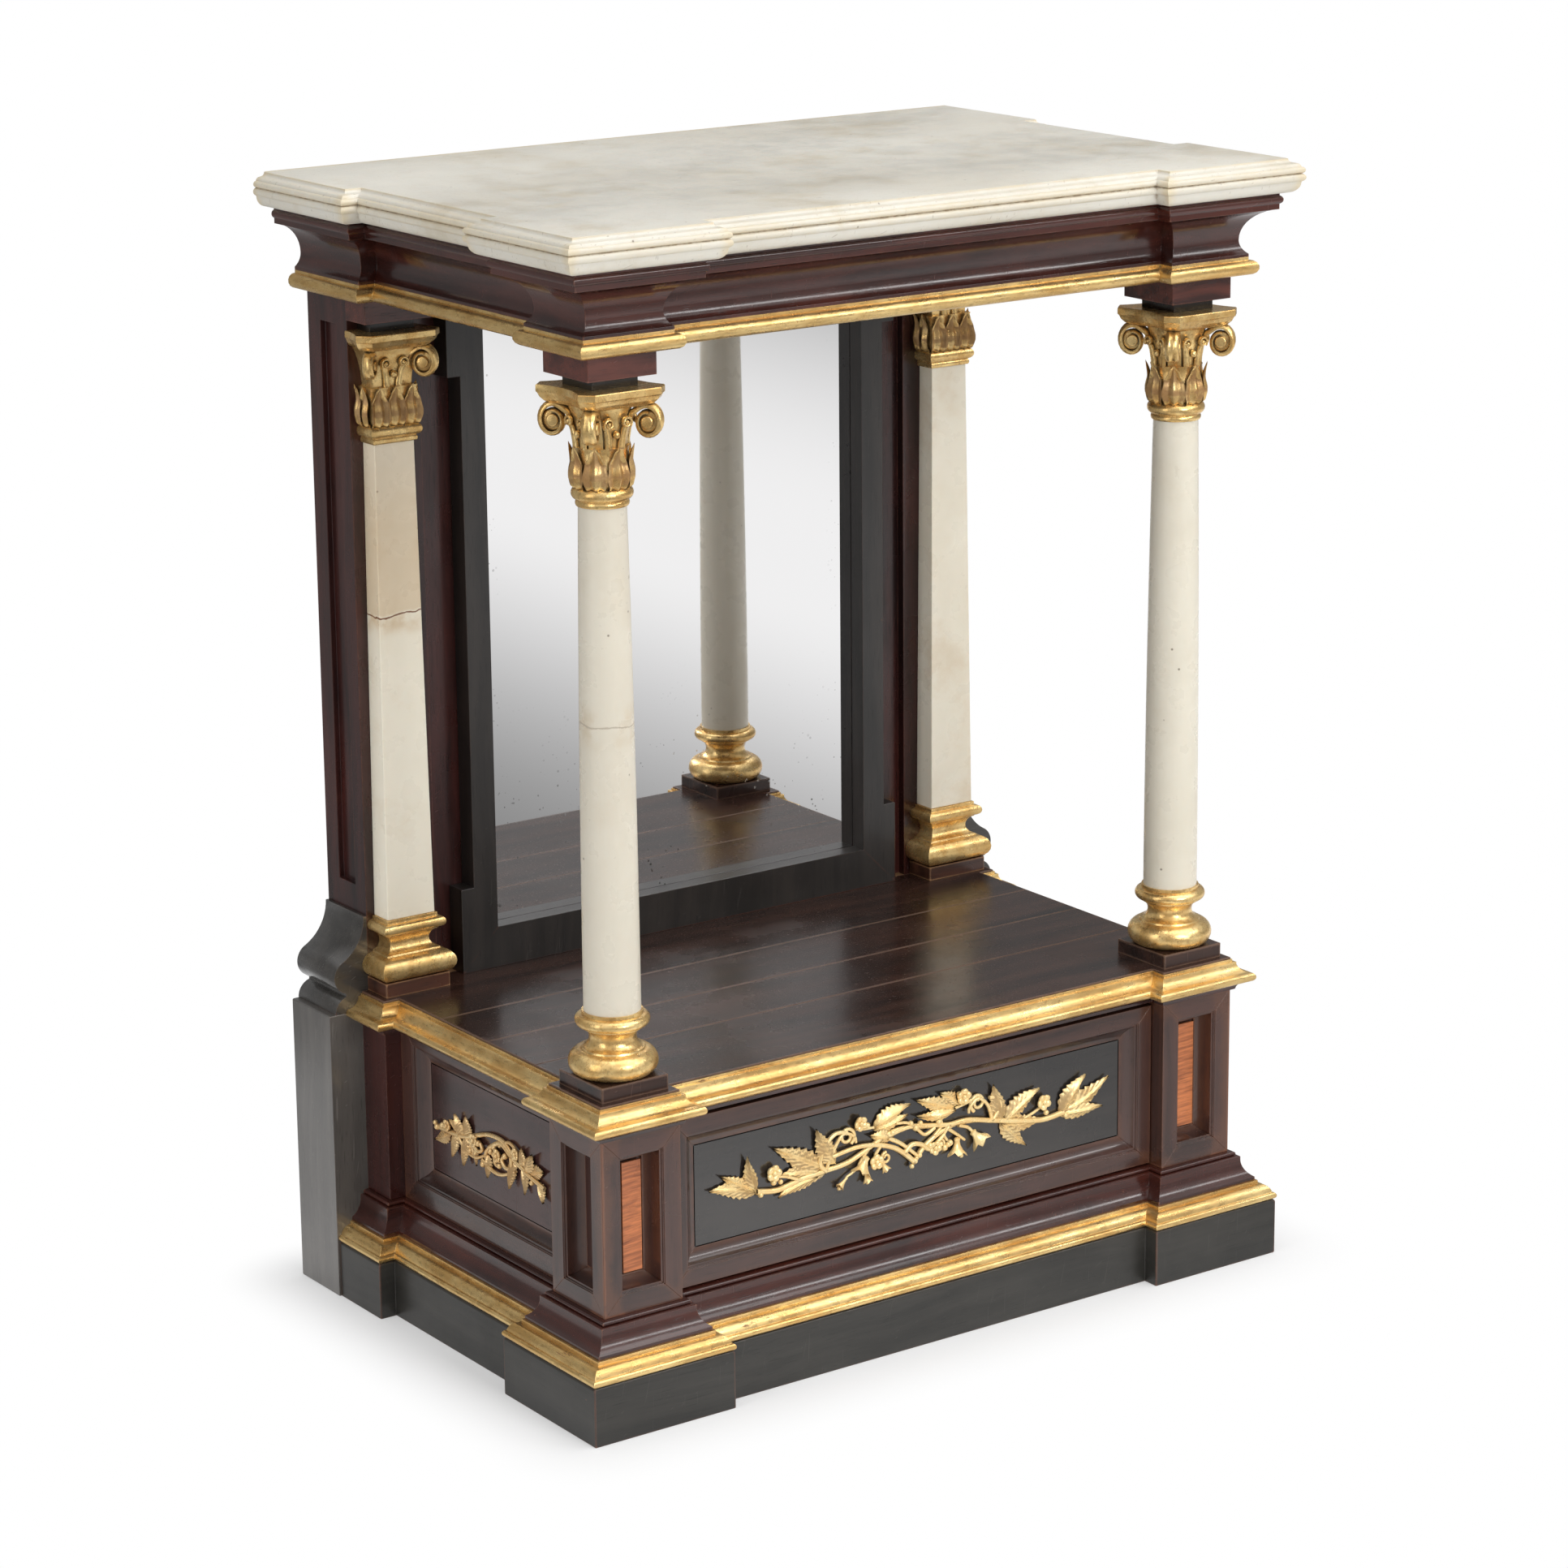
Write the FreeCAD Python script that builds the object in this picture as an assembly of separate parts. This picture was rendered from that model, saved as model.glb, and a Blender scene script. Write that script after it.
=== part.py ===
"""Pier table with a breakfront marble top, columns, a mirrored back and a drawer in its base.

Millimetres. +X to the right, +Y to the back, +Z up. The origin is the middle of the
footprint of the whole table, on the floor.
"""

import FreeCAD, Part

import math
import os

from FreeCAD import Vector

# ---- plan: every moulding follows the outline of the four corner piers ----
CASE_WIDTH = 650.0
TABLE_DEPTH = 478.0
MARBLE_OVERHANG = 37.0
MARBLE_PAST_BACK = 6.0
PIER_WIDTH = 75.0
PIER_DEPTH = 76.0
REAR_PIER_DEPTH = 37.0
REAR_SLAB_DEPTH = 64.0
BREAK_DEPTH = 15.0
SLAB_PROUD = 32.0

# ---- heights, each one measured on its own piece ----
PLINTH_HEIGHT = 50.0
BASE_GILT_HEIGHT = 16.5
BASE_MOULDING_HEIGHT = 25.5
CASE_HEIGHT = 149.0
BED_MOULDING_HEIGHT = 8.0
BED_TO_BOARDS = 3.0
SHELF_THICKNESS = 17.5
SHELF_GILT_DROP = 1.5
COLUMN_PLINTH_HEIGHT = 12.5
COLUMN_BASE_HEIGHT = 52.5
SHAFT_HEIGHT = 407.5
CAPITAL_HEIGHT = 94.0
NECK_HEIGHT = 8.5
BLOCK_HEIGHT = 18.5
CORNICE_GILT_HEIGHT = 16.5
CORNICE_HEIGHT = 54.0
MARBLE_THICKNESS = 28.5

# ---- how far each moulding stands out from the pier faces ----
PLINTH_OUT = 30.0
PLINTH_BOARD = 24.0
BASE_GILT_OUT = 31.0
BASE_GILT_TOP_OUT = 19.0
BASE_MOULDING_OUT = 17.0
BASE_BEAD_OUT = 5.0
SHELF_GILT_OUT = 16.0
BED_MOULDING_OUT = 12.0
CORNICE_GILT_OUT = 11.0
CORNICE_OUT = 24.0
CORNICE_WAIST = 2.0
MOULDING_BACKING = 18.0
MARBLE_UNDER_OUT = 27.0
MARBLE_ARRIS_OUT = 26.0

# ---- the small members of each moulding ----
PLINTH_ARRIS = 2.0
BASE_GILT_FILLET = 3.0
BASE_FILLET = 3.0
BASE_BEAD = 4.0
SHELF_GILT_FILLET = 2.2
SHELF_GILT_ROUND_HEIGHT = 7.0
SHELF_GILT_NECK_OUT = 3.6
CORNICE_FILLET = 2.5
CORNICE_SOFFIT_IN = 6.0
CORNICE_BEVEL_IN = 4.0
CORNICE_STEP_OUT = 1.0
CORNICE_FOOT_OUT = 4.0
CORNICE_COVE_RISE = 14.0
CORNICE_LIP_HEIGHT = 14.0
CORNICE_ROLL_HEIGHT = 7.0
TOP_FRAME_RAIL = 50.0
MARBLE_UNDER_ROUND = 8.5
MARBLE_GROOVE = 1.0
MARBLE_BEAD = 2.5
MARBLE_LOWER_BEAD_HEIGHT = 6.5
MARBLE_UPPER_BEAD_HEIGHT = 5.5
MARBLE_UNDER_ROUND_IN = 3.0
MARBLE_SHOULDER_HEIGHT = 3.0
MARBLE_SHOULDER_IN = 6.5
MARBLE_FILLET_HEIGHT = 0.3
MARBLE_FILLET_IN = 8.0

# ---- columns and pilasters ----
COLUMN_PLINTH_HALF = 31.5
LOWER_TORUS_RADIUS = 37.0
UPPER_TORUS_RADIUS = 31.5
BASE_FILLET_RADIUS = 28.0
LOWER_TORUS_HEIGHT = 19.0
UPPER_TORUS_HEIGHT = 14.0
SCOTIA_FILLET = 2.5
SCOTIA_RADIUS = 19.3
SHAFT_FOOT_RADIUS = 23.0
SHAFT_TOP_RADIUS = 19.0
ASTRAGAL_RADIUS = 25.2
CUP_FOOT_RADIUS = 21.5
CUP_RADIUS = 26.2
BELL_RADIUS = 19.0
BELL_TOP_RADIUS = 24.0
LEAF_TIP_RADIUS = 25.0
LEAF_COUNT = 8
LEAF_GAP_SHARE = 0.8
LEAF_GAP_DEPTH_SHARE = 0.7
ASTRAGAL_FOOT = 2.5
ASTRAGAL_TOP = 13.0
CUP_SWELL_TOP = 26.0
CUP_WAIST = 1.8
LEAF_TIP = 48.0
ABACUS_HALF = 39.0
ABACUS_THICKNESS = 11.5
ABACUS_HOLLOW = 7.0
ABACUS_CORNER = 8.0
VOLUTE_RADIUS = 12.5
VOLUTE_REACH = 40.0
VOLUTE_WIDTH = 9.0
VOLUTE_STALK_SWELL = 4.0
NECK_HALF = 21.0
BLOCK_HALF = 31.5
DOWEL_RADIUS = 4.0
DOWEL_LENGTH = 30.0
DOWEL_CLEARANCE = 0.3

# ---- back: posts, brackets, mirror ----
POST_OUTER_SET_IN = 7.0
POST_PANEL_MARGIN_FRONT = 17.0
POST_PANEL_MARGIN_BACK = 20.0
POST_PANEL_END_MARGIN = 24.0
POST_PANEL_DEPTH = 5.0
BRACKET_HEIGHT = 67.5
BRACKET_STEP_HEIGHT = 14.5
BRACKET_STEP_INSET = 6.0
BRACKET_STEP_ROUND = 11.0
BRACKET_ROLL_HEIGHT = 31.0
BRACKET_ROLL_RETURN = 9.0
BRACKET_TIP = 3.0
SLAB_ABOVE_BED = 11.6
BACKBOARD_SET_BACK = 8.0
BACKBOARD_THICKNESS = 14.0
MIRROR_FRAME_THICKNESS = 20.0
MIRROR_FRAME_WIDTH = 36.0
MIRROR_SIDE_MARGIN = 19.0
MIRROR_EAR_STEP = 12.5
MIRROR_EAR_LENGTH = 75.0
MIRROR_REBATE = 5.0
GLASS_THICKNESS = 3.0
GLASS_CLEARANCE = 0.3

# ---- base panels ----
FRAME_THICKNESS = 18.0
PANEL_FRAME_WIDTH = 14.0
SIDE_STILE_WIDTH = 20.0
SIDE_RAIL_WIDTH = 17.0
SLIP_WIDTH = 15.0
SLIP_LIP = 1.0
PANEL_SET_BACK = 10.0
PANEL_THICKNESS = 6.0
PIER_RECESS_WIDTH = 42.0
PIER_RECESS_MARGIN = 16.0
PIER_RECESS_DEPTH = 17.0
PIER_SLIP_WIDTH = 10.0
INLAY_THICKNESS = 2.0
BACK_PANEL_THICKNESS = 12.0
BACK_PANEL_SET_IN = 8.0
BOTTOM_BOARD_THICKNESS = 16.0

# ---- drawer ----
DRAWER_TOP_GAP = 4.0
DRAWER_SIDE_GAP = 1.0
DRAWER_FOOT_GAP = 1.5
DRAWER_SIDE_THICKNESS = 12.0
DRAWER_BOTTOM_THICKNESS = 8.0
DRAWER_LENGTH = 300.0
DRAWER_SIDE_CLEARANCE = 0.6
RUNNER_THICKNESS = 7.0
RUNNER_WIDTH = 26.0
RUNNER_CLEARANCE = 0.3
GUIDE_HEIGHT = 24.0
GUIDE_THICKNESS = 12.0
DRAWER_SIDE_DROP = 3.0
STOP_SIZE = 18.0
TOP_RAIL_DEPTH = 40.0

# ---- shelf boards: how far each joint lies behind the pier faces ----
SHELF_JOINTS = (120.0, 193.0, 266.0)
JOINT_GAP = 0.4

# ---- gilt-metal mounts ----
MOUNT_STEM_WIDTH = 5.0
MOUNT_RELIEF = 5.5
MOUNT_BUD_RELIEF = 9.0
FRONT_MOUNT_LIFT = 4.0
FRONT_MOUNT_DRAWN_FOR = 440.0
SIDE_MOUNT_DRAWN_FOR = 188.0
SIDE_MOUNT_DROP = 3.0

# ---- worked out from the sizes above ----
PIER_OUT = CASE_WIDTH / 2
PIER_IN = PIER_OUT - PIER_WIDTH
COLUMN_X = PIER_OUT - PIER_WIDTH / 2
MARBLE_BACK = TABLE_DEPTH / 2
CASE_FRONT = -TABLE_DEPTH / 2 + MARBLE_OVERHANG
CASE_BACK = MARBLE_BACK - MARBLE_PAST_BACK
SLAB_FRONT = CASE_BACK - REAR_SLAB_DEPTH
REAR_PIER_FRONT = SLAB_FRONT - REAR_PIER_DEPTH
PIER_BACK = CASE_FRONT + PIER_DEPTH
COLUMN_Y = CASE_FRONT + PIER_DEPTH / 2
RECESS_FRONT = CASE_FRONT + BREAK_DEPTH
RECESS_SIDE = PIER_OUT - BREAK_DEPTH

BASE_GILT_FOOT = PLINTH_HEIGHT
BASE_MOULDING_FOOT = BASE_GILT_FOOT + BASE_GILT_HEIGHT
CASE_FOOT = BASE_MOULDING_FOOT + BASE_MOULDING_HEIGHT
BED_FOOT = CASE_FOOT + CASE_HEIGHT
BOARDS_FOOT = BED_FOOT + BED_MOULDING_HEIGHT + BED_TO_BOARDS
SHELF_TOP = BOARDS_FOOT + SHELF_THICKNESS
COLUMN_BASE_FOOT = SHELF_TOP + COLUMN_PLINTH_HEIGHT
SHAFT_FOOT = COLUMN_BASE_FOOT + COLUMN_BASE_HEIGHT
CAPITAL_FOOT = SHAFT_FOOT + SHAFT_HEIGHT
NECK_FOOT = CAPITAL_FOOT + CAPITAL_HEIGHT
BLOCK_FOOT = NECK_FOOT + NECK_HEIGHT
CORNICE_GILT_FOOT = BLOCK_FOOT + BLOCK_HEIGHT
CORNICE_FOOT = CORNICE_GILT_FOOT + CORNICE_GILT_HEIGHT
MARBLE_FOOT = CORNICE_FOOT + CORNICE_HEIGHT
SLAB_TOP = BED_FOOT + SLAB_ABOVE_BED
POST_OUT = PIER_OUT - POST_OUTER_SET_IN
BACKBOARD_FRONT = SLAB_FRONT + BACKBOARD_SET_BACK
MIRROR_FRONT = BACKBOARD_FRONT - MIRROR_FRAME_THICKNESS
MIRROR_FRAME_HALF = PIER_IN - MIRROR_SIDE_MARGIN
DRAWER_FRONT_TOP = BED_FOOT - DRAWER_TOP_GAP
DRAWER_FRONT_FOOT = CASE_FOOT + DRAWER_FOOT_GAP
DRAWER_FRONT_HALF = PIER_IN - DRAWER_SIDE_GAP
BOTTOM_BOARD_TOP = CASE_FOOT - RUNNER_THICKNESS + DRAWER_FOOT_GAP
BOTTOM_BOARD_FOOT = BOTTOM_BOARD_TOP - BOTTOM_BOARD_THICKNESS
RUNNER_TOP = BOTTOM_BOARD_TOP + RUNNER_THICKNESS

MARGIN = 1.0
SMALLEST = 0.001
SIDES = (("left", -1), ("right", 1))


# ---- small helpers ----
def save(name, shape):
    shape.exportStep(os.path.join("parts", name + ".step"))


def box(x0, x1, y0, y1, z0, z1):
    return Part.makeBox(x1 - x0, y1 - y0, z1 - z0, Vector(x0, y0, z0))


def mirrored(shape):
    return shape.mirror(Vector(0, 0, 0), Vector(1, 0, 0))


def on_side(shape, side):
    """The shape is drawn on the right (+X); the left one is its mirror image."""
    return shape if side > 0 else mirrored(shape)


def pair(shape):
    return Part.makeCompound([mirrored(shape), shape])


def round_middle(start, end, hollow):
    """The middle of a round that stays inside its corner; the material lies on its left."""
    run = (end[0] - start[0], end[1] - start[1])
    lean = math.atan2(min(abs(run[0]), abs(run[1])), max(abs(run[0]), abs(run[1])))
    swell = math.tan(lean / 2) / 2
    if hollow:
        swell = -swell
    return ((start[0] + end[0]) / 2 + run[1] * swell, (start[1] + end[1]) / 2 - run[0] * swell)


def profile(start, *moves):
    """A closed face in the XZ plane, drawn with its material on the left. Moves: a line,
    a hollow cove or a full ovolo to an end point, or a bead that also takes its swell."""
    point = start
    edges = []
    for kind, end, *swell in list(moves) + [("line", start)]:
        a, b = Vector(point[0], 0, point[1]), Vector(end[0], 0, end[1])
        if kind == "line":
            if (b - a).Length > SMALLEST:
                edges.append(Part.makeLine(a, b))
        else:
            middle = round_middle(point, end, kind == "cove")
            if kind == "bead":
                middle = ((point[0] + end[0]) / 2 + swell[0], (point[1] + end[1]) / 2)
            edges.append(Part.Arc(a, Vector(middle[0], 0, middle[1]), b).toShape())
        point = end
    return Part.Face(Part.Wire(edges))


def turned(face, x, y, z):
    solid = face.revolve(Vector(0, 0, 0), Vector(0, 0, 1), 360)
    solid.translate(Vector(x, y, z))
    return solid


def squared(face, half):
    """A square-plan moulding: the profile carried round a square of the given half width."""
    along_y = face.copy()
    along_y.translate(Vector(0, -half, 0))
    ridge = along_y.extrude(Vector(0, 2 * half, 0))
    both = ridge.fuse(ridge.mirror(Vector(0, 0, 0), Vector(1, 0, 0)))
    across = both.copy()
    across.rotate(Vector(0, 0, 0), Vector(0, 0, 1), 90)
    return both.common(across).removeSplitter()


def front_half(solid, x):
    """Stands a square-plan piece against the posts: only its front half is left."""
    size = 2 * PIER_WIDTH
    bounds = solid.BoundBox
    keep = box(-size, size, -size, 0, bounds.ZMin - MARGIN, bounds.ZMax + MARGIN)
    half = solid.common(keep)
    half.translate(Vector(x, SLAB_FRONT, 0))
    return half


def save_order(order, pieces, paired):
    """One file for each side of a piece, or one for both sides of the plainer pieces."""
    for part_name, shape in pieces.items():
        if part_name in paired:
            save("%s_%ss" % (order, part_name), pair(shape))
            continue
        for name, side in SIDES:
            save("%s_%s_%s" % (order, part_name, name), on_side(shape, side))


# ---- mouldings round the case ----
def plan_path(back):
    """The outline of the piers, from the back left corner round the front to the right."""
    half = [
        (PIER_OUT, back),
        (PIER_OUT, REAR_PIER_FRONT),
        (RECESS_SIDE, REAR_PIER_FRONT),
        (RECESS_SIDE, PIER_BACK),
        (PIER_OUT, PIER_BACK),
        (PIER_OUT, CASE_FRONT),
        (PIER_IN, CASE_FRONT),
        (PIER_IN, RECESS_FRONT),
    ]
    left = [Vector(-x, y, 0) for x, y in half]
    return left + [Vector(x, y, 0) for x, y in reversed(half)]


def plan_normals(path):
    normals = []
    for start, end in zip(path, path[1:]):
        along = (end - start).normalize()
        normals.append(Vector(along.y, -along.x, 0))
    return normals


def mitres(path):
    """For each corner, the way it moves when the outline grows by one millimetre."""
    normals = plan_normals(path)
    inner = [before + after for before, after in zip(normals, normals[1:])]
    return [normals[0]] + inner + [normals[-1]]


def plan_outline(back, out):
    path = plan_path(back)
    return [point + way * out for point, way in zip(path, mitres(path))]


def plan_prism(back, out, z0, z1):
    corners = [Vector(p.x, p.y, z0) for p in plan_outline(back, out)]
    wire = Part.makePolygon(corners + [corners[0]])
    return Part.Face(wire).extrude(Vector(0, 0, z1 - z0))


def moulding_lengths(face, back):
    """The profile run along each straight stretch of the outline and mitred at its ends."""
    path = plan_path(back)
    ways = mitres(path)
    bounds = face.BoundBox
    lengths = []
    for index, outward in enumerate(plan_normals(path)):
        start, end = path[index], path[index + 1]
        along = (end - start).normalize()
        over = 2 * (abs(bounds.XMin) + abs(bounds.XMax)) + MARGIN
        bar = face.extrude(Vector(0, (end - start).Length + 2 * over, 0))
        bar.translate(Vector(0, -over, 0))
        turn = math.degrees(math.atan2(outward.y, outward.x))
        bar.rotate(Vector(0, 0, 0), Vector(0, 0, 1), turn)
        first = start if outward.cross(along).z > 0 else end
        bar.translate(first)
        low, high = bounds.XMin - MARGIN, bounds.XMax + MARGIN
        floor = bounds.ZMin - MARGIN
        plan = [
            start + ways[index] * low,
            start + ways[index] * high,
            end + ways[index + 1] * high,
            end + ways[index + 1] * low,
        ]
        plan = [Vector(p.x, p.y, floor) for p in plan]
        wedge = Part.Face(Part.makePolygon(plan + [plan[0]]))
        wedge = wedge.extrude(Vector(0, 0, bounds.ZLength + 2 * MARGIN))
        lengths.extend(bar.common(wedge).Solids)
    return lengths


def moulding(face, back):
    return Part.makeCompound(moulding_lengths(face, back))


def joined(solids):
    return solids[0].multiFuse(solids[1:]).removeSplitter()


# ---- plinth and base mouldings ----
def plinth():
    inner = PLINTH_OUT - PLINTH_BOARD
    arris = PLINTH_ARRIS
    face = profile(
        (inner, 0),
        ("line", (PLINTH_OUT, 0)),
        ("line", (PLINTH_OUT, PLINTH_HEIGHT - arris)),
        ("ovolo", (PLINTH_OUT - arris, PLINTH_HEIGHT)),
        ("line", (inner, PLINTH_HEIGHT)),
    )
    runs = moulding_lengths(face, SLAB_FRONT)
    third = len(runs) // 3
    save("plinth_front", Part.makeCompound(runs[third:-third]))
    save("plinth_sides", Part.makeCompound(runs[:third] + runs[-third:]))


def base_gilt_moulding():
    foot, top = BASE_GILT_FOOT, BASE_MOULDING_FOOT
    fillet = BASE_GILT_FILLET
    shoulder = top - fillet
    face = profile(
        (-MOULDING_BACKING, foot),
        ("line", (BASE_GILT_OUT - fillet, foot)),
        ("bead", (BASE_GILT_OUT - fillet, foot + 2 * fillet), fillet),
        ("ovolo", (BASE_GILT_TOP_OUT, shoulder)),
        ("line", (BASE_GILT_TOP_OUT, top)),
        ("line", (-MOULDING_BACKING, top)),
    )
    save("base_gilt_moulding", moulding(face, SLAB_FRONT))


def base_moulding():
    foot, top = BASE_MOULDING_FOOT, CASE_FOOT
    fillet = BASE_FILLET
    bead = BASE_BEAD
    cove_top = top - bead - fillet
    face = profile(
        (-MOULDING_BACKING, foot),
        ("line", (BASE_MOULDING_OUT, foot)),
        ("line", (BASE_MOULDING_OUT, foot + fillet)),
        ("cove", (BASE_BEAD_OUT + fillet, cove_top)),
        ("line", (BASE_BEAD_OUT + fillet, cove_top + fillet)),
        ("line", (BASE_BEAD_OUT - bead / 2, cove_top + fillet)),
        ("bead", (BASE_BEAD_OUT - bead / 2, top), bead / 2),
        ("line", (-MOULDING_BACKING, top)),
    )
    save("base_moulding", moulding(face, SLAB_FRONT))


# ---- base case ----
def pier_recess(width, height):
    """The sunk field of a pier: a sloping edge down to a flat bed. Drawn on a -Y face."""
    mouth = [(-width / 2, 0), (width / 2, 0), (width / 2, height), (-width / 2, height)]
    slip = PIER_SLIP_WIDTH
    bed = [
        (-width / 2 + slip, slip),
        (width / 2 - slip, slip),
        (width / 2 - slip, height - slip),
        (-width / 2 + slip, height - slip),
    ]

    def loop(points, y):
        corners = [Vector(x, y, z) for x, z in points]
        return Part.makePolygon(corners + [corners[0]])

    well = Part.makeLoft([loop(mouth, 0), loop(bed, PIER_RECESS_DEPTH)], True, True)
    lip = box(-width / 2, width / 2, -MARGIN, 0, 0, height)
    return well.fuse(lip)


def inlay_field():
    """The veneered tablet that lies on the bed of a pier's sunk field."""
    border = PIER_SLIP_WIDTH + INLAY_THICKNESS
    half = PIER_RECESS_WIDTH / 2 - border
    height = CASE_HEIGHT - 2 * PIER_RECESS_MARGIN - border
    bed = PIER_RECESS_DEPTH
    return box(-half, half, bed - INLAY_THICKNESS, bed, border, height)


def placed_on_pier(shape):
    """Copies for the front and the outer side of the right-hand pier."""
    foot = CASE_FOOT + PIER_RECESS_MARGIN
    front = shape.copy()
    front.translate(Vector(COLUMN_X, CASE_FRONT, foot))
    side = shape.copy()
    side.rotate(Vector(0, 0, 0), Vector(0, 0, 1), 90)
    side.translate(Vector(PIER_OUT, COLUMN_Y, foot))
    return front, side


def piers():
    body = box(PIER_IN, PIER_OUT, CASE_FRONT, PIER_BACK, CASE_FOOT, BOARDS_FOOT)
    recess = pier_recess(PIER_RECESS_WIDTH, CASE_HEIGHT - 2 * PIER_RECESS_MARGIN)
    for cut in placed_on_pier(recess):
        body = body.cut(cut)
    rear = box(PIER_IN, PIER_OUT, REAR_PIER_FRONT, SLAB_FRONT, CASE_FOOT, BOARDS_FOOT)
    for name, side in SIDES:
        save("front_pier_" + name, on_side(body, side))
    save("rear_piers", pair(rear))
    right = placed_on_pier(inlay_field())
    left = [mirrored(tablet) for tablet in right]
    save("pier_inlays", Part.makeCompound(list(right) + left))


def panel_slip(width, height):
    """A hollow moulding mitred round an opening, in front of the panel, on a -Y face."""
    lip = SLIP_LIP
    face = profile(
        (-SLIP_WIDTH, -PANEL_SET_BACK),
        ("line", (0, -PANEL_SET_BACK)),
        ("line", (0, 0)),
        ("line", (-lip, 0)),
        ("cove", (-SLIP_WIDTH, lip - PANEL_SET_BACK)),
    )
    corners = [(-width / 2, 0), (width / 2, 0), (width / 2, height), (-width / 2, height)]
    strips = []
    for index, (x, z) in enumerate(corners):
        next_x, next_z = corners[(index + 1) % len(corners)]
        length = math.hypot(next_x - x, next_z - z)
        reach = SLIP_WIDTH + MARGIN
        plan = [(0, 0), (0, length), (-reach, length - reach), (-reach, reach)]
        plan = [Vector(u, v, -PANEL_SET_BACK - MARGIN) for u, v in plan]
        wedge = Part.Face(Part.makePolygon(plan + [plan[0]]))
        wedge = wedge.extrude(Vector(0, 0, PANEL_SET_BACK + 2 * MARGIN))
        strip = face.extrude(Vector(0, length, 0)).common(wedge)
        strip.rotate(Vector(0, 0, 0), Vector(1, 0, 0), 90)
        strip.rotate(Vector(0, 0, 0), Vector(0, 1, 0), 90 - 90 * index)
        strip.translate(Vector(x, 0, z))
        strips.append(strip)
    return strips


def framed_panel(width, height, stile, rail):
    """A mitred frame of four members, its slip moulding and its panel, on a -Y face.
    The origin is the middle of the foot."""
    half = width / 2
    open_half = half - stile
    open_height = height - 2 * rail
    outer = [(-half, 0), (half, 0), (half, height), (-half, height)]
    inner = [
        (-open_half, rail),
        (open_half, rail),
        (open_half, height - rail),
        (-open_half, height - rail),
    ]
    members = []
    for index in range(len(outer)):
        after = (index + 1) % len(outer)
        quad = [outer[index], outer[after], inner[after], inner[index]]
        corners = [Vector(x, 0, z) for x, z in quad]
        face = Part.Face(Part.makePolygon(corners + [corners[0]]))
        members.append(face.extrude(Vector(0, FRAME_THICKNESS, 0)))
    slips = panel_slip(2 * open_half, open_height)
    for slip in slips:
        slip.translate(Vector(0, 0, rail))
    panel = box(
        -open_half,
        open_half,
        PANEL_SET_BACK,
        PANEL_SET_BACK + PANEL_THICKNESS,
        rail,
        height - rail,
    )
    return members, slips, panel


def side_panels():
    width = REAR_PIER_FRONT - PIER_BACK
    middle = (REAR_PIER_FRONT + PIER_BACK) / 2
    height = BOARDS_FOOT - CASE_FOOT
    members, slips, panel = framed_panel(width, height, SIDE_STILE_WIDTH, SIDE_RAIL_WIDTH)
    mount = side_mount(width - 2 * (SIDE_STILE_WIDTH + SLIP_WIDTH))
    mount.translate(Vector(0, PANEL_SET_BACK, height / 2 - SIDE_MOUNT_DROP))
    pieces = {
        "frame": Part.makeCompound(members + slips),
        "panel": panel,
        "mount": mount,
    }
    for shape in pieces.values():
        shape.rotate(Vector(0, 0, 0), Vector(0, 0, 1), 90)
        shape.translate(Vector(RECESS_SIDE, middle, CASE_FOOT))
    save_order("side", pieces, ("panel",))


def case_boards():
    inner = PIER_IN
    board = plan_prism(SLAB_FRONT, -MOULDING_BACKING, BOTTOM_BOARD_FOOT, BOTTOM_BOARD_TOP)
    save("bottom_board", board)
    panel_back = CASE_BACK - BACK_PANEL_SET_IN
    panel_front = panel_back - BACK_PANEL_THICKNESS
    save("back_panel", box(-inner, inner, panel_front, panel_back, 0, BOARDS_FOOT))
    slab = box(inner, PIER_OUT + SLAB_PROUD, SLAB_FRONT, CASE_BACK, 0, SLAB_TOP)
    save("rear_slabs", pair(slab))
    rail_back = RECESS_FRONT + TOP_RAIL_DEPTH
    save("top_rail", box(-inner, inner, RECESS_FRONT, rail_back, BED_FOOT, BOARDS_FOOT))
    save("back_rail", box(-inner, inner, SLAB_FRONT, panel_back, BOARDS_FOOT, SHELF_TOP))


# ---- drawer ----
def drawer():
    height = DRAWER_FRONT_TOP - DRAWER_FRONT_FOOT
    members, slips, panel = framed_panel(
        2 * DRAWER_FRONT_HALF, height, PANEL_FRAME_WIDTH, PANEL_FRAME_WIDTH
    )
    place = Vector(0, RECESS_FRONT, DRAWER_FRONT_FOOT)
    for shape in members + slips + [panel]:
        shape.translate(place)
    save("drawer_front", Part.makeCompound(members + slips))
    save("drawer_panel", panel)
    mount = front_mount(2 * (DRAWER_FRONT_HALF - PANEL_FRAME_WIDTH - SLIP_WIDTH))
    middle = DRAWER_FRONT_FOOT + height / 2 + FRONT_MOUNT_LIFT
    mount.translate(Vector(0, RECESS_FRONT + PANEL_SET_BACK, middle))
    save("drawer_mount", mount)

    half = PIER_IN - GUIDE_THICKNESS - DRAWER_SIDE_CLEARANCE
    front = RECESS_FRONT + FRAME_THICKNESS
    back = front + DRAWER_LENGTH
    foot = RUNNER_TOP + RUNNER_CLEARANCE
    top = DRAWER_FRONT_TOP - DRAWER_SIDE_DROP
    inner = half - DRAWER_SIDE_THICKNESS
    save("drawer_sides", pair(box(inner, half, front, back, foot, top)))
    bottom_top = foot + DRAWER_BOTTOM_THICKNESS
    save("drawer_bottom", box(-inner, inner, front, back, foot, bottom_top))
    rear = back - DRAWER_SIDE_THICKNESS
    save("drawer_back", box(-inner, inner, rear, back, bottom_top, top))


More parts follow.
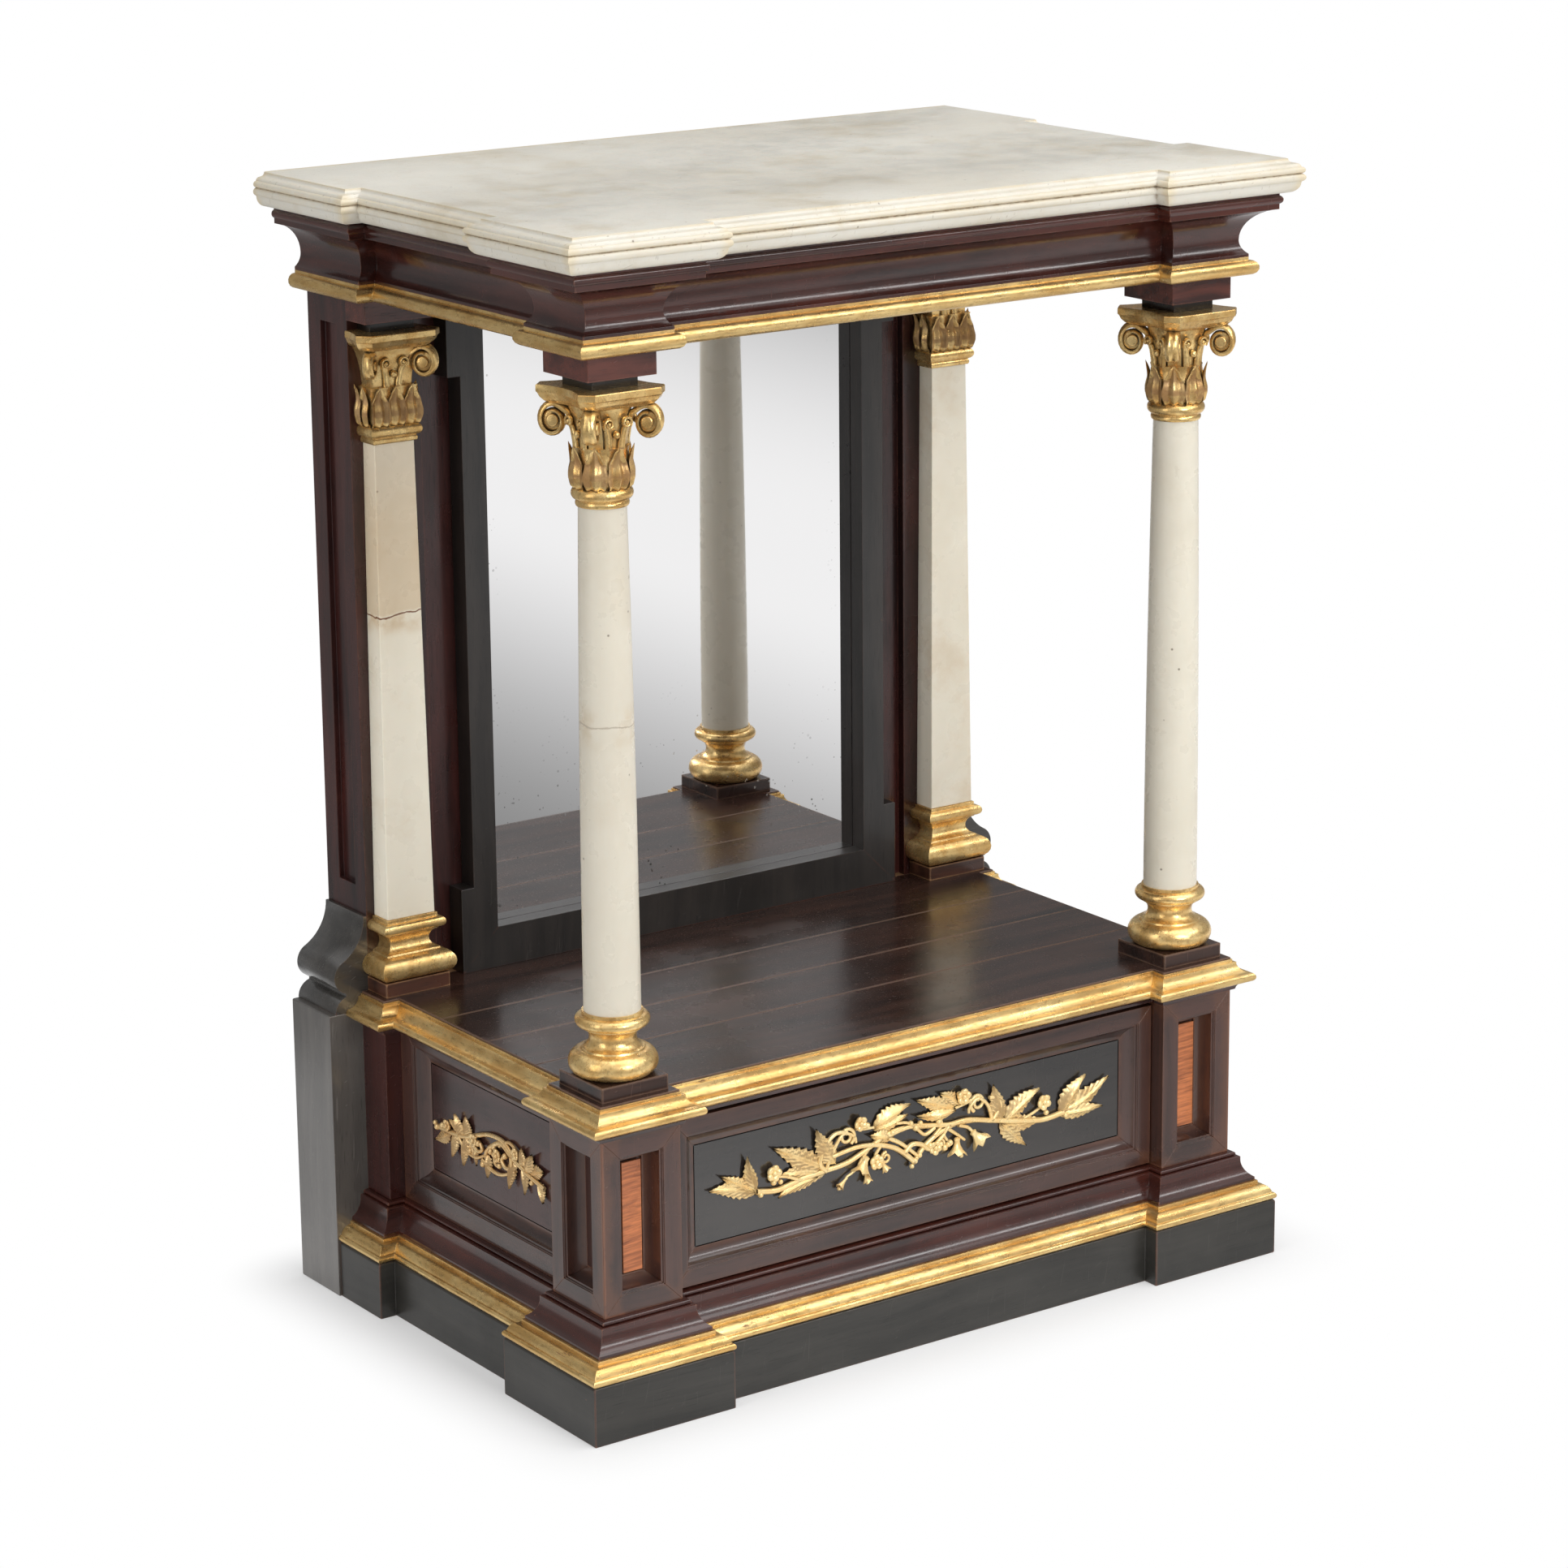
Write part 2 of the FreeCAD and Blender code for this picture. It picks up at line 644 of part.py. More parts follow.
def drawer_fittings():
    """Runners with guides under the drawer, kickers over it and stops behind it."""
    front = RECESS_FRONT + FRAME_THICKNESS
    inner = PIER_IN - RUNNER_WIDTH
    runner = box(inner, PIER_IN, front, SLAB_FRONT, BOTTOM_BOARD_TOP, RUNNER_TOP)
    guide_in = PIER_IN - GUIDE_THICKNESS
    guide = box(guide_in, PIER_IN, front, SLAB_FRONT, RUNNER_TOP, RUNNER_TOP + GUIDE_HEIGHT)
    save("drawer_runners", pair(runner.fuse(guide).removeSplitter()))
    kicker_foot = DRAWER_FRONT_TOP - DRAWER_SIDE_DROP + RUNNER_CLEARANCE
    rail_back = RECESS_FRONT + TOP_RAIL_DEPTH
    kicker = box(inner, PIER_IN, rail_back, SLAB_FRONT, kicker_foot, BOARDS_FOOT)
    save("drawer_kickers", pair(kicker))
    stop_front = front + DRAWER_LENGTH + RUNNER_CLEARANCE
    stop_top = RUNNER_TOP + STOP_SIZE
    stop = box(
        inner - STOP_SIZE, inner, stop_front, stop_front + STOP_SIZE, BOTTOM_BOARD_TOP, stop_top
    )
    save("drawer_stops", pair(stop))


# ---- gilt-metal mounts ----
def leaf(root, tip, width):
    """A pointed leaf, flat on the panel."""
    a, b = Vector(root[0], 0, root[1]), Vector(tip[0], 0, tip[1])
    along = (b - a).normalize()
    across = Vector(along.z, 0, -along.x) * (width / 2)
    middle = (a + b) / 2
    edges = [Part.Arc(a, middle + across, b).toShape(), Part.Arc(b, middle - across, a).toShape()]
    return Part.Face(Part.Wire(edges))


def stem(*corners):
    """A curved strip of even width through three points."""
    points = [Vector(x, 0, z) for x, z in corners]
    centre = Part.Arc(*points).toShape().Curve.Center
    spread = [(point - centre).normalize() * (MOUNT_STEM_WIDTH / 2) for point in points]
    outer = [point + step for point, step in zip(points, spread)]
    inner = [point - step for point, step in zip(points, spread)]
    edges = [
        Part.Arc(*outer).toShape(),
        Part.makeLine(outer[-1], inner[-1]),
        Part.Arc(*reversed(inner)).toShape(),
        Part.makeLine(inner[0], outer[0]),
    ]
    return Part.Face(Part.Wire(edges))


def bud(x, z, radius):
    return Part.makeCylinder(radius, MOUNT_BUD_RELIEF, Vector(x, 0, z), Vector(0, -1, 0))


def casting(stems, leaves, buds, size):
    """One flat-backed casting of stems, leaves and buds, about its own middle."""
    outlines = [stem(*points) for points in stems] + [leaf(*shape) for shape in leaves]
    sheet = outlines[0].multiFuse(outlines[1:]).removeSplitter()
    plates = sheet.extrude(Vector(0, -MOUNT_RELIEF, 0)).Solids
    mount = joined(plates + [bud(*shape) for shape in buds])
    mount.scale(size)
    return mount


def front_mount(opening):
    """A branch with pointed leaves, curling tendrils and trumpet flowers."""
    stems = (
        ((-158, -16), (-128, -14), (-92, -10)),
        ((-92, -10), (-58, -6), (-31, 7)),
        ((-31, 7), (-6, 11), (19, 5)),
        ((19, 5), (47, 4), (81, -3)),
        ((81, -3), (114, -10), (156, -13)),
        ((-1, -22), (-18, -9), (-36, 0)),
        ((-36, 0), (-61, 5), (-86, 1)),
        ((1, -20), (17, -9), (42, 2)),
        ((-86, 1), (-74, 21), (-61, 8)),
        ((81, -3), (67, 21), (57, 10)),
        ((-61, 20), (-52, 16), (-39, 16)),
        ((60, 20), (52, 16), (39, 16)),
        ((-47, 0), (-55, -8), (-60, -17)),
        ((31, 2), (43, -6), (53, -18)),
    )
    leaves = (
        ((-161, -13), (-209, -2), 13),
        ((-162, -12), (-196, 7), 11),
        ((-162, -13), (-171, 20), 10),
        ((-92, -12), (-136, -5), 17),
        ((-92, -7), (-144, 21), 16),
        ((-82, -5), (-102, 28), 15),
        ((-100, -13), (-140, -22), 9),
        ((-22, 5), (-47, 10), 9),
        ((-42, 18), (-6, 31), 13),
        ((-42, 16), (-8, 22), 10),
        ((42, 17), (1, 32), 12),
        ((42, 15), (1, 18), 8),
        ((49, 17), (26, 33), 10),
        ((92, -7), (82, 28), 15),
        ((95, -6), (131, 15), 15),
        ((92, -8), (136, -12), 12),
        ((91, -8), (117, -32), 12),
        ((155, -12), (181, 17), 14),
        ((158, -12), (208, 11), 14),
        ((155, -13), (200, -14), 11),
    )
    buds = (
        (-142, -6, 8),
        (-56, 24, 6),
        (-74, -22, 7),
        (-60, -17, 9),
        (-45, -17, 8),
        (49, 24, 7),
        (34, -14, 6),
        (49, -22, 8),
        (64, -22, 9),
        (135, -4, 9),
        (15, -11, 7),
        (-1, -21, 7),
    )
    return casting(stems, leaves, buds, opening / FRONT_MOUNT_DRAWN_FOR)


def side_mount(opening):
    """Scrolls with vine leaves."""
    stems = (
        ((84, -2), (55, -1), (20, 8)),
        ((20, 8), (0, 15), (-22, 14)),
        ((0, 3), (-18, 15), (-35, 5)),
        ((-35, 5), (-27, -3), (-20, 3)),
        ((-35, 5), (-60, -3), (-86, -9)),
        ((0, 3), (6, -5), (0, -14)),
        ((12, -11), (-15, -16), (-40, -6)),
    )
    leaves = (
        ((40, 2), (64, 9), 13),
        ((38, 3), (37, 19), 14),
        ((48, 0), (52, 17), 12),
        ((66, -2), (86, -14), 9),
        ((57, -1), (59, -21), 11),
        ((38, 2), (40, -23), 12),
        ((34, 3), (21, -18), 12),
        ((6, -5), (3, -23), 12),
        ((-36, 3), (-32, -21), 12),
        ((-48, 0), (-54, -20), 11),
        ((-48, 0), (-50, 16), 13),
        ((-55, -2), (-67, 16), 14),
        ((-60, -3), (-84, 5), 13),
        ((-74, -6), (-84, -20), 12),
    )
    buds = (
        (83, -2, 5),
        (-25, 3, 5),
        (-3, 0, 6),
        (17, 2, 5),
        (10, -14, 6),
    )
    return casting(stems, leaves, buds, opening / SIDE_MOUNT_DRAWN_FOR)


# ---- shelf ----
def shelf():
    whole = plan_prism(SLAB_FRONT, 0, BOARDS_FOOT, SHELF_TOP)
    edges = [-MARGIN] + list(SHELF_JOINTS) + [SLAB_FRONT - CASE_FRONT]
    for index, (near, far) in enumerate(zip(edges, edges[1:])):
        far_edge = far - JOINT_GAP if far in SHELF_JOINTS else far
        strip = box(
            -CASE_WIDTH,
            CASE_WIDTH,
            CASE_FRONT + near,
            CASE_FRONT + far_edge,
            BOARDS_FOOT - MARGIN,
            SHELF_TOP + MARGIN,
        )
        save("shelf_board_%d" % (index + 1), whole.common(strip))

    foot = BED_FOOT
    face = profile(
        (0, foot),
        ("line", (BED_MOULDING_OUT / 4, foot)),
        ("cove", (BED_MOULDING_OUT, foot + BED_MOULDING_HEIGHT)),
        ("line", (0, foot + BED_MOULDING_HEIGHT)),
    )
    save("shelf_bed_moulding", moulding(face, SLAB_FRONT))

    foot = BED_FOOT + BED_MOULDING_HEIGHT
    top = SHELF_TOP - SHELF_GILT_DROP
    fillet = SHELF_GILT_FILLET
    neck = SHELF_GILT_NECK_OUT
    face = profile(
        (0, foot),
        ("line", (SHELF_GILT_OUT - fillet, foot)),
        ("bead", (SHELF_GILT_OUT - fillet, foot + SHELF_GILT_ROUND_HEIGHT), fillet),
        ("cove", (neck, top - 2 * fillet)),
        ("line", (neck, top - fillet)),
        ("line", (fillet / 2, top - fillet)),
        ("line", (fillet / 2, top)),
        ("line", (0, top)),
    )
    save("shelf_gilt_moulding", moulding(face, SLAB_FRONT))


# ---- columns ----
def base_profile():
    """An attic base: torus, scotia between fillets, torus. The radius is also the half width."""
    torus = LOWER_TORUS_HEIGHT
    fillet = SCOTIA_FILLET
    height = COLUMN_BASE_HEIGHT
    upper = height - UPPER_TORUS_HEIGHT
    scotia_foot = torus + fillet
    scotia_top = upper - fillet
    swell = LOWER_TORUS_RADIUS - BASE_FILLET_RADIUS
    top_swell = UPPER_TORUS_RADIUS - BASE_FILLET_RADIUS + fillet
    neck_edge = BASE_FILLET_RADIUS - fillet
    scotia_middle = (scotia_foot + scotia_top) / 2
    return profile(
        (0, 0),
        ("line", (BASE_FILLET_RADIUS, 0)),
        ("bead", (BASE_FILLET_RADIUS, torus), swell),
        ("line", (BASE_FILLET_RADIUS, scotia_foot)),
        ("cove", (SCOTIA_RADIUS, scotia_middle)),
        ("cove", (neck_edge, scotia_top)),
        ("line", (neck_edge, upper)),
        ("bead", (neck_edge, height), top_swell),
        ("line", (0, height)),
    )


def dowel_hole(x, y, z, depth):
    return Part.makeCylinder(DOWEL_RADIUS + DOWEL_CLEARANCE, depth, Vector(x, y, z))


def abacus(half, z):
    """A plate with hollow sides and cut corners."""
    reach = half - ABACUS_CORNER
    edges = []
    for quarter in range(4):
        turn = math.radians(90 * quarter)

        def at(u, v):
            return Vector(
                u * math.cos(turn) - v * math.sin(turn),
                u * math.sin(turn) + v * math.cos(turn),
                z,
            )

        start, middle, end = at(half, -reach), at(half - ABACUS_HOLLOW, 0), at(half, reach)
        edges.append(Part.Arc(start, middle, end).toShape())
        edges.append(Part.makeLine(end, at(reach, half)))
    return Part.Face(Part.Wire(edges)).extrude(Vector(0, 0, ABACUS_THICKNESS))


def volute(z):
    """A rolled scroll on a curving stalk, in the XZ plane towards +X, about the middle."""
    half = VOLUTE_WIDTH / 2
    roll = Part.makeCylinder(
        VOLUTE_RADIUS, VOLUTE_WIDTH, Vector(VOLUTE_REACH, half, z), Vector(0, -1, 0)
    )
    top = z + VOLUTE_RADIUS
    foot = z - 2 * VOLUTE_RADIUS
    outer = Part.Arc(
        Vector(BELL_RADIUS, half, foot),
        Vector(BELL_RADIUS + VOLUTE_STALK_SWELL, half, z),
        Vector(VOLUTE_REACH, half, top),
    ).toShape()
    rooted = BELL_RADIUS / 2
    across = Part.makeLine(Vector(VOLUTE_REACH, half, top), Vector(rooted, half, top))
    down = Part.makeLine(Vector(rooted, half, top), Vector(rooted, half, foot))
    back = Part.makeLine(Vector(rooted, half, foot), Vector(BELL_RADIUS, half, foot))
    stalk = Part.Face(Part.Wire([outer, across, down, back]))
    return [roll, stalk.extrude(Vector(0, -VOLUTE_WIDTH, 0))]


def bell_profile():
    """Astragal, swelling cup of leaves with a flared lip, bell. The radius is the half width."""
    top = CAPITAL_HEIGHT - ABACUS_THICKNESS
    return profile(
        (0, 0),
        ("line", (CUP_FOOT_RADIUS, 0)),
        ("line", (CUP_FOOT_RADIUS, ASTRAGAL_FOOT)),
        ("bead", (CUP_FOOT_RADIUS, ASTRAGAL_TOP), ASTRAGAL_RADIUS - CUP_FOOT_RADIUS),
        ("ovolo", (CUP_RADIUS, CUP_SWELL_TOP)),
        ("bead", (LEAF_TIP_RADIUS, LEAF_TIP), -CUP_WAIST),
        ("line", (BELL_RADIUS, LEAF_TIP)),
        ("cove", (BELL_TOP_RADIUS, top)),
        ("line", (0, top)),
    )


def leaf_notches():
    """Wedges cut between the leaf tips, round the lip of the cup."""
    cuts = []
    depth = LEAF_TIP - CUP_SWELL_TOP
    half = math.pi * LEAF_TIP_RADIUS / LEAF_COUNT * LEAF_GAP_SHARE
    near = BELL_RADIUS + MARGIN
    for index in range(LEAF_COUNT):
        corners = [
            Vector(near, -half, LEAF_TIP + MARGIN),
            Vector(near, half, LEAF_TIP + MARGIN),
            Vector(near, 0, LEAF_TIP - depth * LEAF_GAP_DEPTH_SHARE),
        ]
        wedge = Part.Face(Part.makePolygon(corners + [corners[0]]))
        wedge = wedge.extrude(Vector(LEAF_TIP_RADIUS, 0, 0))
        wedge.rotate(Vector(0, 0, 0), Vector(0, 0, 1), 360 * (index + 0.5) / LEAF_COUNT)
        cuts.append(wedge)
    return cuts


def scrolls():
    centre = CAPITAL_HEIGHT - ABACUS_THICKNESS - VOLUTE_RADIUS - MARGIN
    pieces = []
    for index in range(4):
        for piece in volute(centre):
            piece.rotate(Vector(0, 0, 0), Vector(0, 0, 1), 45 + 90 * index)
            pieces.append(piece)
    return pieces


def capital(body):
    """Puts the volutes and the abacus on a bell, round or square."""
    body = body.multiFuse(scrolls() + [abacus(ABACUS_HALF, CAPITAL_HEIGHT - ABACUS_THICKNESS)])
    return body.removeSplitter()


def square_block(half, z0, z1):
    return box(-half, half, -half, half, z0, z1)


def columns():
    x, y = COLUMN_X, COLUMN_Y
    depth = DOWEL_LENGTH / 2
    plate = square_block(COLUMN_PLINTH_HALF, SHELF_TOP, COLUMN_BASE_FOOT)
    plate.translate(Vector(x, y, 0))

    foot = turned(base_profile(), x, y, COLUMN_BASE_FOOT)
    foot = foot.cut(dowel_hole(x, y, SHAFT_FOOT - depth, depth + MARGIN))

    stand = Vector(x, y, SHAFT_FOOT)
    shaft = Part.makeCone(SHAFT_FOOT_RADIUS, SHAFT_TOP_RADIUS, SHAFT_HEIGHT, stand)
    shaft = shaft.cut(dowel_hole(x, y, SHAFT_FOOT - MARGIN, depth + MARGIN))
    shaft = shaft.cut(dowel_hole(x, y, CAPITAL_FOOT - depth, depth + MARGIN))

    cup = turned(bell_profile(), 0, 0, 0)
    for cut in leaf_notches():
        cup = cup.cut(cut)
    head = capital(cup)
    head.translate(Vector(x, y, CAPITAL_FOOT))
    head = head.cut(dowel_hole(x, y, CAPITAL_FOOT - MARGIN, depth + MARGIN))

    block = square_block(BLOCK_HALF, BLOCK_FOOT, CORNICE_GILT_FOOT)
    block = block.fuse(square_block(NECK_HALF, NECK_FOOT, BLOCK_FOOT))
    block.translate(Vector(x, y, 0))
    pieces = {"plinth": plate, "base": foot, "shaft": shaft, "capital": head, "block": block}
    save_order("column", pieces, ("plinth", "block"))


def pilasters():
    size = 2 * PIER_WIDTH
    plate = square_block(COLUMN_PLINTH_HALF, SHELF_TOP, COLUMN_BASE_FOOT)
    foot = squared(base_profile(), size)
    foot.translate(Vector(0, 0, COLUMN_BASE_FOOT))
    head = capital(squared(bell_profile(), size))
    head.translate(Vector(0, 0, CAPITAL_FOOT))
    neck = square_block(NECK_HALF, NECK_FOOT, BLOCK_FOOT)
    block = square_block(BLOCK_HALF, BLOCK_FOOT, CORNICE_GILT_FOOT)

    taper = profile(
        (0, SHAFT_FOOT),
        ("line", (SHAFT_FOOT_RADIUS, SHAFT_FOOT)),
        ("line", (SHAFT_TOP_RADIUS, CAPITAL_FOOT)),
        ("line", (0, CAPITAL_FOOT)),
    )
    shaft = squared(taper, size)
    pieces = {
        "plinth": plate,
        "base": foot,
        "shaft": shaft,
        "capital": head,
        "block": block.fuse(neck),
    }
    halves = {name: front_half(shape, COLUMN_X) for name, shape in pieces.items()}
    save_order("pilaster", halves, ("plinth", "base", "shaft", "block"))


def dowels():
    """Iron dowels that pin each column's shaft to its base and its capital."""
    pins = []
    for _, side in SIDES:
        for z in (SHAFT_FOOT, CAPITAL_FOOT):
            place = Vector(side * COLUMN_X, COLUMN_Y, z - DOWEL_LENGTH / 2)
            pins.append(Part.makeCylinder(DOWEL_RADIUS, DOWEL_LENGTH, place))
    save("column_dowels", Part.makeCompound(pins))


# ---- back ----
def posts():
    body = box(PIER_IN, POST_OUT, SLAB_FRONT, CASE_BACK, SLAB_TOP, CORNICE_GILT_FOOT)
    sunk = box(
        POST_OUT - POST_PANEL_DEPTH,
        POST_OUT + MARGIN,
        SLAB_FRONT + POST_PANEL_MARGIN_FRONT,
        CASE_BACK - POST_PANEL_MARGIN_BACK,
        SLAB_TOP + BRACKET_STEP_HEIGHT + BRACKET_HEIGHT + POST_PANEL_END_MARGIN,
        CORNICE_GILT_FOOT - POST_PANEL_END_MARGIN,
    )
    body = body.cut(sunk)
    for name, side in SIDES:
        save("back_post_" + name, on_side(body, side))


def brackets():
    """A scroll bracket on a rounded step, outside the foot of each post."""
    edge = PIER_OUT + SLAB_PROUD - BRACKET_STEP_INSET
    neck = edge - BRACKET_STEP_ROUND
    foot = SLAB_TOP
    step = foot + BRACKET_STEP_HEIGHT
    top = step + BRACKET_HEIGHT
    roll_foot = step + BRACKET_TIP
    roll_top = step + BRACKET_ROLL_HEIGHT
    roll_middle = (roll_foot + roll_top) / 2
    face = profile(
        (POST_OUT, foot),
        ("line", (edge, foot)),
        ("ovolo", (neck, step)),
        ("line", (neck, roll_foot)),
        ("ovolo", (edge, roll_middle)),
        ("ovolo", (edge - BRACKET_ROLL_RETURN, roll_top)),
        ("cove", (POST_OUT + BRACKET_TIP, top)),
        ("line", (POST_OUT, top)),
    )
    face.translate(Vector(0, SLAB_FRONT, 0))
    save("post_brackets", pair(face.extrude(Vector(0, REAR_SLAB_DEPTH, 0))))


def mirror():
    foot, top = SHELF_TOP, CORNICE_GILT_FOOT
    save(
        "mirror_backboard",
        box(
            -PIER_IN,
            PIER_IN,
            BACKBOARD_FRONT,
            BACKBOARD_FRONT + BACKBOARD_THICKNESS,
            foot,
            top,
        ),
    )
    half = MIRROR_FRAME_HALF
    sight = half - MIRROR_FRAME_WIDTH
    outer = [(-half, foot), (half, foot), (half, top), (-half, top)]
    low, high = foot + MIRROR_FRAME_WIDTH, top - MIRROR_FRAME_WIDTH
    inner = [(-sight, low), (sight, low), (sight, high), (-sight, high)]
    glass = box(
        -sight - MIRROR_REBATE,
        sight + MIRROR_REBATE,
        BACKBOARD_FRONT - GLASS_THICKNESS,
        BACKBOARD_FRONT,
        low - MIRROR_REBATE,
        high + MIRROR_REBATE,
    )
    rebate = box(
        -sight - MIRROR_REBATE - GLASS_CLEARANCE,
        sight + MIRROR_REBATE + GLASS_CLEARANCE,
        BACKBOARD_FRONT - GLASS_THICKNESS - GLASS_CLEARANCE,
        BACKBOARD_FRONT + MARGIN,
        low - MIRROR_REBATE - GLASS_CLEARANCE,
        high + MIRROR_REBATE + GLASS_CLEARANCE,
    )
    waist = box(
        half - MIRROR_EAR_STEP,
        half + MARGIN,
        MIRROR_FRONT - MARGIN,
        BACKBOARD_FRONT + MARGIN,
        foot + MIRROR_EAR_LENGTH,
        top - MIRROR_EAR_LENGTH,
    )
    members = []
    for index in range(len(outer)):
        after = (index + 1) % len(outer)
        quad = [outer[index], outer[after], inner[after], inner[index]]
        corners = [Vector(x, MIRROR_FRONT, z) for x, z in quad]
        face = Part.Face(Part.makePolygon(corners + [corners[0]]))
        member = face.extrude(Vector(0, MIRROR_FRAME_THICKNESS, 0)).cut(rebate)
        members.append(member.cut(waist).cut(mirrored(waist)))
    save("mirror_frame", Part.makeCompound(members))
    save("mirror_glass", glass)


# ---- cornice and top ----
def cornice():
    foot = CORNICE_GILT_FOOT
    top = CORNICE_FOOT
    fillet = CORNICE_FILLET
    neck = CORNICE_FOOT_OUT
    face = profile(
        (-MOULDING_BACKING, foot),
        ("line", (-CORNICE_SOFFIT_IN, foot)),
        ("line", (-CORNICE_BEVEL_IN, foot + fillet)),
        ("line", (CORNICE_STEP_OUT, foot + fillet)),
        ("bead", (neck, top - fillet), CORNICE_GILT_OUT - fillet),
        ("line", (neck, top)),
        ("line", (-MOULDING_BACKING, top)),
    )
    save("cornice_gilt_moulding", moulding(face, CASE_BACK))

    foot = CORNICE_FOOT
    top = MARBLE_FOOT
    lip = top - CORNICE_LIP_HEIGHT
    roll = top - CORNICE_ROLL_HEIGHT
    edge = CORNICE_OUT - fillet
    face = profile(
        (-MOULDING_BACKING, foot),
        ("line", (neck, foot)),
        ("line", (neck, foot + fillet)),
        ("cove", (-CORNICE_WAIST, foot + CORNICE_COVE_RISE)),
        ("cove", (edge, lip)),
        ("line", (edge, roll - 2 * fillet)),
        ("line", (edge, roll - fillet)),
        ("bead", (edge, top - fillet), fillet),
        ("line", (edge, top)),
        ("line", (-MOULDING_BACKING, top)),
    )
    save("cornice_moulding", moulding(face, CASE_BACK))
    inside = -MOULDING_BACKING
    board = CORNICE_GILT_FOOT + CORNICE_GILT_HEIGHT
    save("soffit_board", plan_prism(CASE_BACK, inside, CORNICE_GILT_FOOT, board))
    frame = plan_prism(CASE_BACK, inside, board, MARBLE_FOOT)
    rail = TOP_FRAME_RAIL
    hollow = box(
        -PIER_OUT - inside + rail,
        PIER_OUT + inside - rail,
        RECESS_FRONT - inside + rail,
        CASE_BACK - rail,
        board - MARGIN,
        MARBLE_FOOT + MARGIN,
    )
    save("top_frame", frame.cut(hollow))


def marble_top():
    foot = MARBLE_FOOT
    top = foot + MARBLE_THICKNESS
    out = MARBLE_OVERHANG
    bead = MARBLE_BEAD
    groove = foot + MARBLE_UNDER_ROUND + MARBLE_GROOVE
    middle = groove + MARBLE_LOWER_BEAD_HEIGHT
    upper = middle + MARBLE_UPPER_BEAD_HEIGHT
    shoulder = upper + MARBLE_SHOULDER_HEIGHT
    core = plan_prism(MARBLE_BACK, 0, foot, top)
    face = profile(
        (-MARGIN, foot),
        ("line", (MARBLE_UNDER_OUT, foot)),
        ("ovolo", (out - MARBLE_UNDER_ROUND_IN, foot + MARBLE_UNDER_ROUND)),
        ("line", (out - bead, groove)),
        ("bead", (out - bead, middle), bead),
        ("bead", (out - MARBLE_UNDER_ROUND_IN, upper), bead),
        ("ovolo", (out - MARBLE_SHOULDER_IN, shoulder)),
        ("line", (out - MARBLE_FILLET_IN, shoulder + MARBLE_FILLET_HEIGHT)),
        ("cove", (MARBLE_ARRIS_OUT, top)),
        ("line", (-MARGIN, top)),
    )
    save("marble_top", joined([core] + moulding_lengths(face, MARBLE_BACK)))


def main():
    os.makedirs("parts", exist_ok=True)
    plinth()
    base_gilt_moulding()
    base_moulding()
    piers()
    side_panels()
    case_boards()
    drawer()
    drawer_fittings()
    shelf()
    columns()
    pilasters()
    dowels()
    posts()
    brackets()
    mirror()
    cornice()
    marble_top()


main()
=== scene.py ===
"""Pier table: a break-front marble top on marble columns and pilasters with gilt capitals,
a mirrored back, and a mahogany base with a drawer."""
import bpy
import bmesh
from math import atan, atan2, cos, exp, pi, radians, sin, tan
from mathutils import Matrix, Vector


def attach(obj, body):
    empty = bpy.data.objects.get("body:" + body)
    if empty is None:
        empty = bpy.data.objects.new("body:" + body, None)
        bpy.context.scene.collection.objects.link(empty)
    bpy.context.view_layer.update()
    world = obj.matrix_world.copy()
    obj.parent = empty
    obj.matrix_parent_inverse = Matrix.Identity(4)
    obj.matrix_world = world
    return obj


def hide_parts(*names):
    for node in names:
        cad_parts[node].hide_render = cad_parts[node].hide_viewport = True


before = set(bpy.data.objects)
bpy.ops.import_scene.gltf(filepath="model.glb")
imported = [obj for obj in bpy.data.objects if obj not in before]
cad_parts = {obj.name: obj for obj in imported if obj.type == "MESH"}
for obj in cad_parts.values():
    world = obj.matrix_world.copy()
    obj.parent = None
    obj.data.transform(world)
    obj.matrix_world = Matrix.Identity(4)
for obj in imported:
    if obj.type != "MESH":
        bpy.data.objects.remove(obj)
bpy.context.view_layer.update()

MM = 0.001
X, Y, Z = Vector((1, 0, 0)), Vector((0, 1, 0)), Vector((0, 0, 1))
SIDES = (("left", -1), ("right", 1))

# ---- plan, in millimetres: the outline of the four corner piers ----
PIER_OUT, PIER_IN = 325, 250
CASE_FRONT, PIER_BACK = -202, -126
REAR_PIER_FRONT, SLAB_FRONT = 132, 169
RECESS_FRONT, RECESS_SIDE = -187, 310
CASE_BACK, MARBLE_BACK = 233, 239
COLUMN_X, COLUMN_Y = 287.5, -164
TUCK = -18  # how far behind the face of the case a moulding starts

# ---- heights ----
BASE_GILT_FOOT, BASE_MOULDING_FOOT = 50, 66.5
CASE_FOOT, BED_FOOT, SHELF_GILT_FOOT, SHELF_TOP = 92, 241, 249, 268
COLUMN_BASE_FOOT, SHAFT_FOOT = 282, 334.5
CAPITAL_FOOT, BELL_TOP, CAPITAL_TOP = 742, 824.5, 836
BLOCK_FOOT, CORNICE_GILT_FOOT = 844.5, 863
CORNICE_FOOT, MARBLE_FOOT, TABLE_TOP = 879.5, 933.5, 962


# ---- shader nodes ----
def colour(pigment, strength=1.0):
    return (*[part * strength for part in pigment], 1.0)


WHITE = colour((1, 1, 1))


